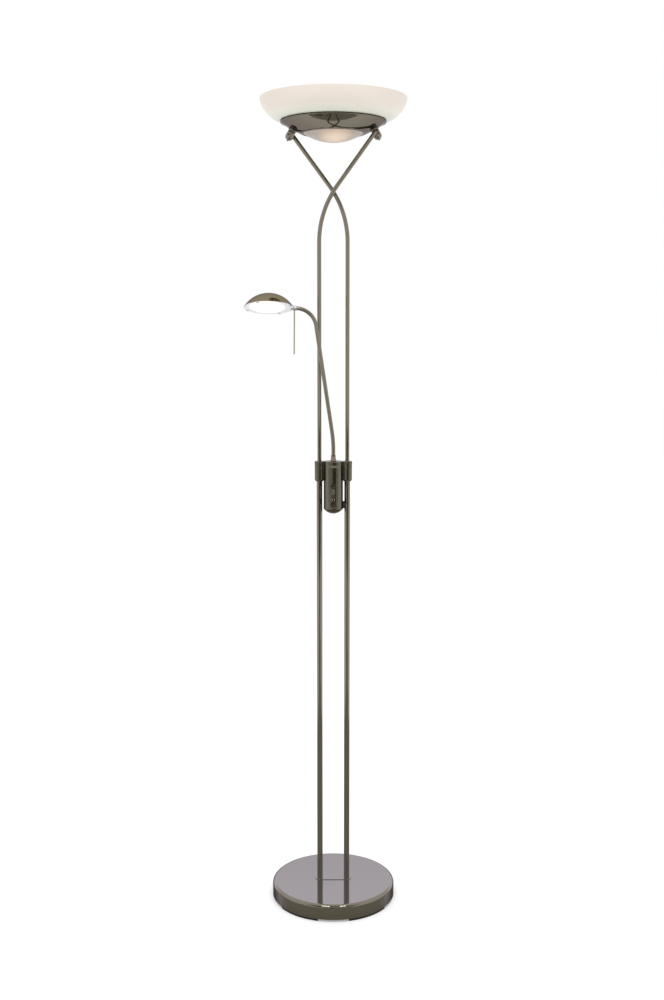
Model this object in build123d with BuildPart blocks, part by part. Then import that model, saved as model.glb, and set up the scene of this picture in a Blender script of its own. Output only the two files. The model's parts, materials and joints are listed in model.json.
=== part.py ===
"""Torchiere floor lamp with a reading light on a flexible arm.

Millimetres, +Z up, origin on the floor under the centre of the round base. The lamp is seen from
its front with the eye at -Y: the reading light then hangs to the left, at -X.

Two tubes rise from the base into a clamp that also holds the dimmer housing. Two thinner tubes
rise from the clamp, bend inwards, cross without touching and end at two knuckles that carry the
metal dish, the glass bowl above it and the lens below it.
"""

import os
from math import asin, atan2, cos, degrees, hypot, radians, sin, sqrt, tan

from build123d import *

os.makedirs("parts", exist_ok=True)

# ------------------------------------------------------------------ fits and gaps
RUN_FIT = 0.05  # radial clearance of a pin that turns in its bore
SLIP_FIT = 0.05  # radial clearance of a tube or screw in a bore that holds it
BODY_GAP = 0.3  # between faces that move past each other
LOOSE_FIT = 0.5  # around parts that sit inside a cover

# ------------------------------------------------------------------ base
FOOT_HEIGHT = 5.3  # the rubber ring lifts the shell this much
FOOT_INSET = 2.0  # from the shell's outside
FOOT_WIDTH = 51.0
FOOT_NOTCHES = 5
FOOT_NOTCH_ANGLE = 28.0  # degrees of the rim that each notch takes
FOOT_NOTCH_DEPTH = 14.0

SHELL_R = 141.0
SHELL_HEIGHT = 33.3
SHELL_EDGE_R = 8.0
SHELL_WALL = 1.2

BOTTOM_PLATE_T = 1.5
WEIGHT_INSET = 11.0  # from the shell's outside
WEIGHT_RIM_T = 16.0
WEIGHT_HUB_R = 48.0
NUT_POCKET_R = 14.0
NUT_POCKET_DEPTH = 12.0

FOOT_PLATE_T = 1.2
FOOT_PLATE_R = 11.0

INLET_HEIGHT = 14.0  # centre of the cord inlet above the shell's lower edge
INLET_BORE_R = 3.6
INLET_BODY_R = 5.5
INLET_FLANGE_R = 7.5
INLET_FLANGE_T = 1.8

# ------------------------------------------------------------------ lower tubes and their fixings
TUBE_SPACING = 62.0
LOWER_TUBE_R = 6.35
LOWER_TUBE_WALL = 1.0
LOWER_TUBE_LENGTH = 957.0

NIPPLE_BORE_R = 3.4
NIPPLE_R = 5.0
NIPPLE_IN_TUBE = 22.0
FIXING_NUT_R = 8.5
FIXING_NUT_T = 5.0
FIXING_WASHER_R = 10.0
FIXING_WASHER_T = 1.5

# ------------------------------------------------------------------ clamp and dimmer housing
COLLAR_R = 10.5
COLLAR_CHAMFER = 3.0
SOCKET_DEPTH = 22.2  # of each lower tube in its collar
BUSH_LENGTH = 14.5
WEB_WIDTH = 18.0
LID_HEIGHT = 8.0
LID_PROUD = 0.4
LID_WALL = 1.6
LID_TOP_T = 3.0
BEAD_DROP = 4.4  # of the bead line below the lid's lower edge
BEAD_HEIGHT = 1.2
BEAD_PROUD = 0.4

HOUSING_R = 21.5
HOUSING_LENGTH = 118.0  # from the lid's top down to the lowest point of the dome
HOUSING_WALL = 1.2
HOUSING_DOME = 11.0

COLLAR_SCREW_R = 2.0
COLLAR_SCREW_HEAD_R = 3.6
COLLAR_SCREW_HEAD_T = 2.2
COLLAR_SCREW_BITE = 2.4  # in the collar's web
COLLAR_SCREW_PITCH = 18.0
GRUB_R = 2.0
GRUB_HEX_R = 1.1
GRUB_HEX_DEPTH = 1.8

KNOB_UPPER_DROP = 54.0  # of each knob's axis below the lid's top
KNOB_LOWER_DROP = 94.0
KNOB_R = 6.2
KNOB_LENGTH = 8.0
KNOB_EDGE_R = 1.2
KNOB_GRIP_TAPER = 3.0  # degrees
KNOB_STAND_OFF = 2.6  # from the housing's front
SPINDLE_R = 3.0
SPINDLE_IN_DIMMER = 9.0
DIMMER_NUT_R = 5.6
DIMMER_NUT_T = 2.0
DIMMER_NECK_R = 4.5
DIMMER_WIDTH = 22.0
DIMMER_DEPTH = 14.0
DIMMER_HEIGHT = 24.0
DIMMER_NECK_LENGTH = 8.0

LINK_RISE = 20.0  # of the cable sleeve above the housing's lowest point
LINK_WIDTH = 9.0
LINK_HEIGHT = 16.0
LINK_BORE_R = 2.6

# ------------------------------------------------------------------ upper tubes
UPPER_TUBE_R = 4.5
UPPER_TUBE_WALL = 0.9
UPPER_STRAIGHT = 479.0  # vertical run above the lid
UPPER_BEND_R = 200.0
UPPER_BEND_ANGLE = 36.8
UPPER_TOP_RUN = 139.0
CROSSING_GAP = 0.4

# ------------------------------------------------------------------ knuckles under the dish
KNUCKLE_R = 8.5
KNUCKLE_WASHER_R = 9.3
KNUCKLE_WASHER_T = 2.0
KNUCKLE_BODY_LENGTH = 11.0
KNUCKLE_GROOVE_R = 7.0
KNUCKLE_GROOVE_T = 1.6
TUBE_END_DROP = 7.0  # of the tube's end below the dish, along the stud
STUD_R = 4.0
STUD_INSIDE = 10.0
STUD_NUT_R = 6.8
STUD_NUT_T = 4.0
CAP_NUT_R = 9.0
CAP_NUT_SKIRT = 4.0
CAP_TIP_R = 2.2
CAP_TIP_LENGTH = 2.0

# ------------------------------------------------------------------ dish, lens and bowl
LENS_HOLE_R = 64.9
DISH_LIP = 4.5
DISH_R = 113.0
DISH_DEPTH = 24.0
DISH_BULGE = 1.6
DISH_WALL = 1.0
DISH_BEAD_R = 1.3
KNUCKLE_REACH = 88.0  # radius at which the studs pass through the dish

LENS_SAG = 18.0
LENS_WALL = 3.0
LENS_FLANGE = 3.6

GASKET_T = 1.6
GASKET_PROUD = 0.8  # of the dish's rim
GASKET_LIP = 1.5  # inside the rim's bead
BOWL_R = 158.6
BOWL_HEIGHT = 46.0
BOWL_SWELL = 9.5
BOWL_WALL = 4.0
BOWL_OVERHANG = 2.5  # of the bowl's foot past the dish
BOWL_CLIPS = 3
CLIP_WIDTH = 9.0
CLIP_T = 0.8
CLIP_HOOK = 3.6  # reach over the bowl's foot

BRACKET_WIDTH = 20.0
BRACKET_T = 1.5
BRACKET_RISE = 4.5  # of its flat middle above the lens hole's lip
BRACKET_REACH = 96.0
BRACKET_CLEAR = 0.9  # of its flat ends from the hollow of the dish, at the studs
TUBE_LAMP_R = 5.0
TUBE_LAMP_LENGTH = 106.0
TUBE_LAMP_CAP_R = 3.4
TUBE_LAMP_CAP = 5.0
HOLDER_WIDTH = 17.0
HOLDER_HEIGHT = 16.0
HOLDER_T = 9.0
HOLDER_SOCKET = 5.6

# ------------------------------------------------------------------ reading arm
ARM_FORWARD = 9.0  # of the arm's foot in front of the lamp's axis
ARM_PLANE_ANGLE = 8.0  # the arm's plane turns forward of the -X direction
ARM_R = 4.3
ARM_BORE_R = 2.6
FERRULE_HEIGHT = 15.0
FERRULE_FOOT_R = 6.6
FERRULE_TOP_R = 5.2
FERRULE_SPIGOT_R = 4.0
HOSE_SEAT = 3.0  # of the hose's end above the lid
FERRULE_NUT_R = 7.0
FERRULE_NUT_T = 3.0
ARM_FIRST_RUN = 24.0  # straight up from the lid
ARM_FIRST_BEND_R = 300.0
ARM_LEAN = 8.6
ARM_STRAIGHT = 232.0
ARM_TOP_BEND_R = 45.0
ARM_END_RISE = 2.0  # degrees by which the arm's end still climbs
ARM_HINGE_LOW = 30.0  # along the long straight, from its lower end
ARM_HINGE_HIGH = 14.0  # short of its upper end
HINGE_BALL_R = 5.85

# ------------------------------------------------------------------ reading head
HEAD_TILT = 13.0
HEAD_SPIGOT_R = 3.0
HEAD_PLUG_LENGTH = 3.0  # of the arm's tip inside the hose
HEAD_WIRE_R = 1.6
HEAD_COLLAR_R = 5.5
HEAD_COLLAR_LENGTH = 8.6
HEAD_NUT_R = 4.0
HEAD_NUT_T = 2.2
DOME_R = 54.0
DOME_HEIGHT = 30.0
DOME_WALL = 1.0
DOME_RIM_RISE = 0.0  # of the dome's rim above the arm end's axis
DOME_EDGE_REACH = 6.5  # of the dome's near edge beyond the arm's end
DIFFUSER_INSET = 0.5  # from the dome's outside
DIFFUSER_T = 2.0
DIFFUSER_NOTCH_R = 6.0  # round the collar
DIFFUSER_FLANGE = 4.5
DIFFUSER_BULGE = 6.5
HEAD_CLIPS = 4
HEAD_CLIP_START = 58.0  # degrees from the side away from the arm
HEAD_CLIP_WIDTH = 5.0
HEAD_CLIP_REACH = 4.5
HEAD_CLIP_T = 0.7
HEAD_BAR_RISE = 7.0  # of the bar above the dome's rim
HEAD_BAR_WIDTH = 12.0
HEAD_BAR_T = 1.4
CAPSULE_HOLDER_LENGTH = 18.0
CAPSULE_HOLDER_WIDTH = 15.0
CAPSULE_HOLDER_HEIGHT = 11.0
CAPSULE_R = 5.0
CAPSULE_LENGTH = 26.0
ROD_R = 1.5
ROD_LENGTH = 98.0
ROD_REACH = 4.6  # of the rod's axis beyond the arm's end

# ------------------------------------------------------------------ heights that follow
shell_top = FOOT_HEIGHT + SHELL_HEIGHT
shell_inside = shell_top - SHELL_WALL
plate_top = FOOT_HEIGHT + BOTTOM_PLATE_T
foot_plate_top = shell_top + FOOT_PLATE_T
lower_tube_top = foot_plate_top + LOWER_TUBE_LENGTH
collar_bottom = lower_tube_top - SOCKET_DEPTH
collar_top = lower_tube_top + BUSH_LENGTH
lid_top = collar_top + LID_HEIGHT
housing_bottom = lid_top - HOUSING_LENGTH
tube_x = TUBE_SPACING / 2

# ------------------------------------------------------------------ upper tube, knuckle and dish
bend = radians(UPPER_BEND_ANGLE)
tube_travel = UPPER_BEND_R * (1 - cos(bend)) + UPPER_TOP_RUN * sin(bend)
tube_rise = UPPER_BEND_R * sin(bend) + UPPER_TOP_RUN * cos(bend)
# each tube's plane is splayed just enough for the two to pass each other at the middle
splay = asin((2 * UPPER_TUBE_R + CROSSING_GAP) / TUBE_SPACING)
tube_end_x = tube_travel * cos(splay) - tube_x
tube_end_y = -tube_travel * sin(splay)
tube_end_z = lid_top + UPPER_STRAIGHT + tube_rise
# the stud stands beside the tube's end, the two walls touching
stud_offset = KNUCKLE_R + UPPER_TUBE_R

# outer profile of the dish from the lip round its lens hole to its rim: an arc with a slight bulge
dish_inner = LENS_HOLE_R + DISH_LIP
dish_chord = hypot(DISH_R - dish_inner, DISH_DEPTH)
dish_slope = atan2(DISH_DEPTH, DISH_R - dish_inner)
dish_arc_r = (dish_chord**2 / 4 + DISH_BULGE**2) / (2 * DISH_BULGE)
dish_mid = (
    (dish_inner + DISH_R) / 2 + DISH_BULGE * sin(dish_slope),
    DISH_DEPTH / 2 - DISH_BULGE * cos(dish_slope),
)
dish_centre = (
    dish_mid[0] - dish_arc_r * sin(dish_slope),
    dish_mid[1] + dish_arc_r * cos(dish_slope),
)
stud_lean = asin((KNUCKLE_REACH - dish_centre[0]) / dish_arc_r)  # of the stud from vertical
stud_root_z = dish_centre[1] - dish_arc_r * cos(stud_lean)
# height of the dish's lens hole that brings the stud beside the tube's end
dish_z = tube_end_z - stud_root_z + TUBE_END_DROP * cos(stud_lean)
stud_end_r = KNUCKLE_REACH + TUBE_END_DROP * sin(stud_lean)
stud_turn = -asin((-tube_end_y - stud_offset) / stud_end_r)  # about Z, right-hand stud
rim_z = dish_z + DISH_DEPTH


def stud_frame(side, along=0.0):
    """Plane on a stud's axis, z pointing down and outwards; side is 1 right, -1 left."""
    reach = KNUCKLE_REACH + along * sin(stud_lean)
    flat = Vector(cos(stud_turn), sin(stud_turn), 0) * side
    origin = flat * reach + Vector(0, 0, dish_z + stud_root_z - along * cos(stud_lean))
    axis = flat * sin(stud_lean) - Vector(0, 0, cos(stud_lean))
    across = Vector(-sin(stud_turn), cos(stud_turn), 0) * side
    return Plane(origin=origin, x_dir=across, z_dir=axis)


# ------------------------------------------------------------------ reading arm's planes
arm_angle = radians(ARM_PLANE_ANGLE)
arm_out = Vector(-cos(arm_angle), -sin(arm_angle), 0)
arm_plane = Plane(origin=(0, -ARM_FORWARD, lid_top), x_dir=arm_out, z_dir=arm_out.cross(Vector(0, 0, 1)))

with BuildLine(arm_plane):
    arm_start = Line((0, 0), (0, ARM_FIRST_RUN))
    arm_sway = JernArc(arm_start @ 1, arm_start % 1, ARM_FIRST_BEND_R, -ARM_LEAN)
    arm_run = PolarLine(arm_sway @ 1, ARM_STRAIGHT, direction=arm_sway % 1)
    arm_curl = JernArc(arm_run @ 1, arm_run % 1, ARM_TOP_BEND_R, -(90 - ARM_LEAN - ARM_END_RISE))

arm_direction = arm_run % 1
hinge_low = (arm_run @ 0) + arm_direction * ARM_HINGE_LOW
hinge_high = (arm_run @ 1) - arm_direction * ARM_HINGE_HIGH
arm_end = arm_curl @ 1
head_x = arm_curl % 1
head_up = head_x.rotate(Axis((0, 0, 0), arm_plane.z_dir), 90)
head_up = head_up.rotate(Axis((0, 0, 0), head_x), HEAD_TILT)
head = Plane(origin=arm_end, x_dir=head_x, z_dir=head_up)


def head_point(x, y, z):
    """A point in the reading head's own frame: x away from the arm, z towards the dome."""
    return head.from_local_coords(Vector(x, y, z))


def head_level(x, z):
    """A plane across the head, level with its rim, at the given place."""
    return Plane(origin=head_point(x, 0, z), x_dir=head.x_dir, z_dir=head.z_dir)


def head_section(x, z):
    """The head's upright lengthways plane: sketch x runs away from the arm, sketch y up."""
    return Plane(origin=head_point(x, 0, z), x_dir=head.x_dir, z_dir=head.x_dir.cross(head.z_dir))


def head_across(x, z=0.0):
    """A plane square to the arm's end, for round parts that run along the head."""
    return Plane(origin=head_point(x, 0, z), x_dir=head.y_dir, z_dir=head.x_dir)


def finish(part, label):
    """Name a finished piece and write its file."""
    part.label = label
    export_step(part, f"parts/{label}.step")


# ================================================================== base
with BuildPart() as foot_ring:
    with BuildSketch():
        foot_r = SHELL_R - FOOT_INSET
        Circle(foot_r)
        Circle(foot_r - FOOT_WIDTH, mode=Mode.SUBTRACT)
        half_notch = foot_r * tan(radians(FOOT_NOTCH_ANGLE / 2))
        with PolarLocations(foot_r, FOOT_NOTCHES, start_angle=-90):
            Rectangle(2 * FOOT_NOTCH_DEPTH, 2 * half_notch, mode=Mode.SUBTRACT)
    extrude(amount=FOOT_HEIGHT)
finish(foot_ring.part, "foot_ring")

with BuildPart() as bottom_plate:
    with BuildSketch(Plane.XY.offset(FOOT_HEIGHT)):
        Circle(SHELL_R - SHELL_WALL - LOOSE_FIT / 2)
    extrude(amount=BOTTOM_PLATE_T)
finish(bottom_plate.part, "bottom_plate")

with BuildPart() as base_weight:
    with BuildSketch(Plane.XY.offset(plate_top)):
        Circle(SHELL_R - WEIGHT_INSET)
    extrude(amount=WEIGHT_RIM_T)
    fillet(base_weight.edges().filter_by(GeomType.CIRCLE).sort_by(Axis.Z)[-1], 3)
    with BuildSketch(Plane.XY.offset(plate_top)):
        Circle(WEIGHT_HUB_R)
    extrude(amount=shell_inside - plate_top)
    with BuildSketch(Plane.XY.offset(plate_top)):
        with Locations((-tube_x, 0), (tube_x, 0)):
            Circle(NUT_POCKET_R)
    extrude(amount=NUT_POCKET_DEPTH, mode=Mode.SUBTRACT)
    with Locations((-tube_x, 0, shell_inside), (tube_x, 0, shell_inside)):
        Hole(NIPPLE_R + SLIP_FIT)
finish(base_weight.part, "base_weight")

with BuildPart() as base_shell:
    with BuildSketch(Plane.XZ):
        with BuildLine():
            edge_start = (SHELL_R, shell_top - SHELL_EDGE_R)
            inner_r = SHELL_R - SHELL_WALL
            Line((0, shell_top), (SHELL_R - SHELL_EDGE_R, shell_top))
            RadiusArc((SHELL_R - SHELL_EDGE_R, shell_top), edge_start, SHELL_EDGE_R)
            Line(edge_start, (SHELL_R, FOOT_HEIGHT))
            Line((SHELL_R, FOOT_HEIGHT), (inner_r, FOOT_HEIGHT))
            Line((inner_r, FOOT_HEIGHT), (inner_r, shell_top - SHELL_EDGE_R))
            RadiusArc(
                (inner_r, shell_top - SHELL_EDGE_R),
                (SHELL_R - SHELL_EDGE_R, shell_inside),
                -(SHELL_EDGE_R - SHELL_WALL),
            )
            Line((SHELL_R - SHELL_EDGE_R, shell_inside), (0, shell_inside))
            Line((0, shell_inside), (0, shell_top))
        make_face()
    revolve(axis=Axis.Z)
    with Locations((-tube_x, 0, shell_top), (tube_x, 0, shell_top)):
        Hole(NIPPLE_R + SLIP_FIT)
    with BuildSketch(Plane.XZ.offset(-SHELL_R - 1)):
        with Locations((0, FOOT_HEIGHT + INLET_HEIGHT)):
            Circle(INLET_BODY_R + SLIP_FIT)
    extrude(amount=SHELL_WALL + 6, mode=Mode.SUBTRACT)
finish(base_shell.part, "base_shell")

with BuildPart() as cord_inlet:
    inlet_out = Plane(origin=(0, SHELL_R + BODY_GAP, FOOT_HEIGHT + INLET_HEIGHT), z_dir=(0, 1, 0))
    with BuildSketch(inlet_out):
        Circle(INLET_FLANGE_R)
    extrude(amount=INLET_FLANGE_T)
    fillet(cord_inlet.edges().sort_by(Axis.Y)[-1], INLET_FLANGE_T / 2)
    with BuildSketch(inlet_out):
        Circle(INLET_BODY_R)
    extrude(amount=-(SHELL_WALL + 3 * BODY_GAP))
    with BuildSketch(inlet_out.offset(-(SHELL_WALL + 3 * BODY_GAP))):
        Circle(INLET_FLANGE_R - 0.7)
    extrude(amount=-INLET_FLANGE_T)
    with BuildSketch(inlet_out.offset(INLET_FLANGE_T)):
        Circle(INLET_BORE_R)
    extrude(amount=-3 * INLET_FLANGE_R, mode=Mode.SUBTRACT)
finish(cord_inlet.part, "cord_inlet")

with BuildPart() as foot_plate:
    with BuildSketch(Plane.XY.offset(shell_top)):
        SlotCenterToCenter(TUBE_SPACING, 2 * FOOT_PLATE_R)
        with Locations((-tube_x, 0), (tube_x, 0)):
            Circle(NIPPLE_R + SLIP_FIT, mode=Mode.SUBTRACT)
    extrude(amount=FOOT_PLATE_T)
    fillet(foot_plate.faces().sort_by(Axis.Z)[-1].outer_wire().edges(), FOOT_PLATE_T / 2)
finish(foot_plate.part, "foot_plate")

with BuildPart() as tube_nipples:
    nipple_bottom = plate_top + NUT_POCKET_DEPTH - FIXING_WASHER_T - FIXING_NUT_T - 2
    for x in (-tube_x, tube_x):
        with BuildSketch(Plane(origin=(x, 0, nipple_bottom))):
            Circle(NIPPLE_R)
            Circle(NIPPLE_BORE_R, mode=Mode.SUBTRACT)
        extrude(amount=foot_plate_top + NIPPLE_IN_TUBE - nipple_bottom)
finish(tube_nipples.part, "tube_nipples")

with BuildPart() as fixing_washers:
    for x in (-tube_x, tube_x):
        with BuildSketch(Plane(origin=(x, 0, plate_top + NUT_POCKET_DEPTH))):
            Circle(FIXING_WASHER_R)
            Circle(NIPPLE_R + SLIP_FIT, mode=Mode.SUBTRACT)
        extrude(amount=-FIXING_WASHER_T)
finish(fixing_washers.part, "fixing_washers")

with BuildPart() as fixing_nuts:
    for x in (-tube_x, tube_x):
        nut_face = plate_top + NUT_POCKET_DEPTH - FIXING_WASHER_T
        with BuildSketch(Plane(origin=(x, 0, nut_face))):
            RegularPolygon(FIXING_NUT_R, 6)
            Circle(NIPPLE_R + SLIP_FIT, mode=Mode.SUBTRACT)
        extrude(amount=-FIXING_NUT_T)
finish(fixing_nuts.part, "fixing_nuts")

for side, label in ((-1, "lower_tube_left"), (1, "lower_tube_right")):
    with BuildPart() as lower_tube:
        with BuildSketch(Plane(origin=(side * tube_x, 0, foot_plate_top))):
            Circle(LOWER_TUBE_R)
            Circle(LOWER_TUBE_R - LOWER_TUBE_WALL, mode=Mode.SUBTRACT)
        extrude(amount=LOWER_TUBE_LENGTH)
        if side > 0:
            # the cable leaves the right tube here, through the sleeve, for the dimmer housing
            with BuildSketch(Plane(origin=(tube_x, 0, housing_bottom + LINK_RISE), z_dir=(-1, 0, 0))):
                Circle(LINK_BORE_R)
            extrude(amount=LOWER_TUBE_R + 1, mode=Mode.SUBTRACT)
    finish(lower_tube.part, label)


# ================================================================== clamp
def clamp_outline(grow=0.0):
    """Outline of the clamp from above: the housing's circle, two collars and the webs between."""
    with BuildSketch(mode=Mode.PRIVATE) as outline:
        Circle(HOUSING_R + grow)
        with Locations((-tube_x, 0), (tube_x, 0)):
            Circle(COLLAR_R + grow)
        Rectangle(TUBE_SPACING, WEB_WIDTH + 2 * grow)
    return outline.sketch


for side, label in ((-1, "collar_left"), (1, "collar_right")):
    with BuildPart() as collar:
        with BuildSketch(Plane.XY.offset(collar_bottom)):
            with Locations((side * tube_x, 0)):
                Circle(COLLAR_R)
        extrude(amount=collar_top - collar_bottom)
        chamfer(collar.edges().group_by(Axis.Z)[0], COLLAR_CHAMFER, COLLAR_CHAMFER * 0.7)
        with BuildSketch(Plane.XY.offset(collar_bottom + COLLAR_CHAMFER)):
            with Locations((side * tube_x * 0.82, 0)):
                Rectangle(tube_x * 0.36, WEB_WIDTH)
        extrude(amount=collar_top - collar_bottom - COLLAR_CHAMFER)
        with BuildSketch(Plane.XY.offset(collar_top - BEAD_DROP - BEAD_HEIGHT)):
            with Locations((side * tube_x, 0)):
                Circle(COLLAR_R + BEAD_PROUD)
        extrude(amount=BEAD_HEIGHT)
        with BuildSketch(Plane.XY.offset(collar_bottom)):
            Circle(HOUSING_R + BEAD_PROUD + SLIP_FIT)
            with Locations((side * tube_x, 0)):
                Circle(LOWER_TUBE_R + SLIP_FIT)
        extrude(amount=collar_top - collar_bottom, mode=Mode.SUBTRACT)
        middle = (collar_bottom + collar_top) / 2
        for step in (-0.5, 0.5):
            height = middle + step * COLLAR_SCREW_PITCH
            with BuildSketch(Plane(origin=(side * HOUSING_R, 0, height), z_dir=(side, 0, 0))):
                Circle(COLLAR_SCREW_R + SLIP_FIT)
            extrude(amount=COLLAR_SCREW_BITE + SLIP_FIT, mode=Mode.SUBTRACT)
            with BuildSketch(Plane(origin=(side * tube_x, 0, height), z_dir=(0, 1, 0))):
                Circle(GRUB_R + SLIP_FIT)
            extrude(amount=COLLAR_R + 1, mode=Mode.SUBTRACT)
    finish(collar.part, label)

with BuildPart() as reducer_bushes:
    for x in (-tube_x, tube_x):
        with BuildSketch(Plane(origin=(x, 0, lower_tube_top))):
            Circle(LOWER_TUBE_R)
            Circle(UPPER_TUBE_R + SLIP_FIT, mode=Mode.SUBTRACT)
        extrude(amount=BUSH_LENGTH)
finish(reducer_bushes.part, "reducer_bushes")

with BuildPart() as grub_screws:
    for x in (-tube_x, tube_x):
        for step in (-0.5, 0.5):
            height = (collar_bottom + collar_top) / 2 + step * COLLAR_SCREW_PITCH
            tip = Plane(origin=(x, LOWER_TUBE_R + SLIP_FIT, height), z_dir=(0, 1, 0))
            with BuildSketch(tip):
                Circle(GRUB_R)
            extrude(amount=COLLAR_R - LOWER_TUBE_R - SLIP_FIT)
            with BuildSketch(tip.offset(COLLAR_R - LOWER_TUBE_R - SLIP_FIT)):
                RegularPolygon(GRUB_HEX_R, 6)
            extrude(amount=-GRUB_HEX_DEPTH, mode=Mode.SUBTRACT)
finish(grub_screws.part, "grub_screws")

with BuildPart() as collar_screws:
    for side in (-1, 1):
        for step in (-0.5, 0.5):
            height = (collar_bottom + collar_top) / 2 + step * COLLAR_SCREW_PITCH
            seat = side * (HOUSING_R - HOUSING_WALL)
            with BuildSketch(Plane(origin=(seat, 0, height), z_dir=(side, 0, 0))):
                Circle(COLLAR_SCREW_R)
            extrude(amount=HOUSING_WALL + COLLAR_SCREW_BITE)
            with BuildSketch(Plane(origin=(seat - side * LOOSE_FIT, 0, height), z_dir=(-side, 0, 0))):
                Circle(COLLAR_SCREW_HEAD_R)
            extrude(amount=COLLAR_SCREW_HEAD_T)
            with BuildSketch(Plane(origin=(seat, 0, height), z_dir=(-side, 0, 0))):
                Circle(COLLAR_SCREW_R)
            extrude(amount=COLLAR_SCREW_HEAD_T)
finish(collar_screws.part, "collar_screws")

with BuildPart() as dimmer_housing:
    dome_r = (HOUSING_R**2 + HOUSING_DOME**2) / (2 * HOUSING_DOME)
    inner_dome_r = dome_r - HOUSING_WALL
    inner_r = HOUSING_R - HOUSING_WALL
    dome_top = housing_bottom + HOUSING_DOME
    inner_top = housing_bottom + dome_r - sqrt(inner_dome_r**2 - inner_r**2)
    with BuildSketch(Plane.XZ):
        with BuildLine():
            RadiusArc((0, housing_bottom), (HOUSING_R, dome_top), -dome_r)
            Line((HOUSING_R, dome_top), (HOUSING_R, collar_top))
            Line((HOUSING_R, collar_top), (inner_r, collar_top))
            Line((inner_r, collar_top), (inner_r, inner_top))
            RadiusArc((inner_r, inner_top), (0, housing_bottom + HOUSING_WALL), inner_dome_r)
            Line((0, housing_bottom + HOUSING_WALL), (0, housing_bottom))
        make_face()
    revolve(axis=Axis.Z)
    rim_edges = dimmer_housing.edges().filter_by(GeomType.CIRCLE)
    fillet([e for e in rim_edges if abs(e.center().Z - dome_top) < 0.01 and e.radius > inner_r + 0.1], 2.0)
    with BuildSketch(Plane.XY.offset(collar_top - BEAD_DROP - BEAD_HEIGHT)):
        Circle(HOUSING_R + BEAD_PROUD)
        Circle(HOUSING_R - HOUSING_WALL / 2, mode=Mode.SUBTRACT)
    extrude(amount=BEAD_HEIGHT)
    for drop in (KNOB_UPPER_DROP, KNOB_LOWER_DROP):
        with BuildSketch(Plane(origin=(0, 0, lid_top - drop), z_dir=(0, -1, 0))):
            Circle(DIMMER_NECK_R + SLIP_FIT)
        extrude(amount=HOUSING_R + 1, mode=Mode.SUBTRACT)
    for side in (-1, 1):
        for step in (-0.5, 0.5):
            height = (collar_bottom + collar_top) / 2 + step * COLLAR_SCREW_PITCH
            with BuildSketch(Plane(origin=(0, 0, height), z_dir=(side, 0, 0))):
                Circle(COLLAR_SCREW_R + SLIP_FIT)
            extrude(amount=HOUSING_R + 1, mode=Mode.SUBTRACT)
    with BuildSketch(Plane(origin=(0, 0, housing_bottom + LINK_RISE), z_dir=(1, 0, 0))):
        Circle(LINK_BORE_R)
    extrude(amount=HOUSING_R + 1, mode=Mode.SUBTRACT)
finish(dimmer_housing.part, "dimmer_housing")

with BuildPart() as clamp_lid:
    with BuildSketch(Plane.XY.offset(collar_top)):
        add(clamp_outline(LID_PROUD))
    extrude(amount=LID_HEIGHT)
    fillet(clamp_lid.faces().sort_by(Axis.Z)[-1].outer_wire().edges(), 1.0)
    with BuildSketch(Plane.XY.offset(collar_top)):
        add(clamp_outline(LID_PROUD - LID_WALL))
    extrude(amount=LID_HEIGHT - LID_TOP_T, mode=Mode.SUBTRACT)
    with Locations((-tube_x, 0, lid_top), (tube_x, 0, lid_top)):
        Hole(UPPER_TUBE_R + SLIP_FIT)
    with Locations((0, -ARM_FORWARD, lid_top)):
        Hole(FERRULE_SPIGOT_R + RUN_FIT)
finish(clamp_lid.part, "clamp_lid")

with BuildPart() as cable_sleeve:
    sleeve_z = housing_bottom + LINK_RISE
    with BuildSketch(Plane(origin=(HOUSING_R - 3, 0, sleeve_z), z_dir=(1, 0, 0), x_dir=(0, 1, 0))):
        RectangleRounded(LINK_WIDTH, LINK_HEIGHT, LINK_WIDTH * 0.45)
    extrude(amount=tube_x - HOUSING_R)
    with BuildSketch(Plane.XY.offset(sleeve_z - LINK_HEIGHT)):
        Circle(HOUSING_R + SLIP_FIT)
        with Locations((tube_x, 0)):
            Circle(LOWER_TUBE_R + SLIP_FIT)
    extrude(amount=2 * LINK_HEIGHT, mode=Mode.SUBTRACT)
    with BuildSketch(Plane(origin=(0, 0, sleeve_z), z_dir=(1, 0, 0))):
        Circle(LINK_BORE_R)
    extrude(amount=tube_x, mode=Mode.SUBTRACT)
finish(cable_sleeve.part, "cable_sleeve")

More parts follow.
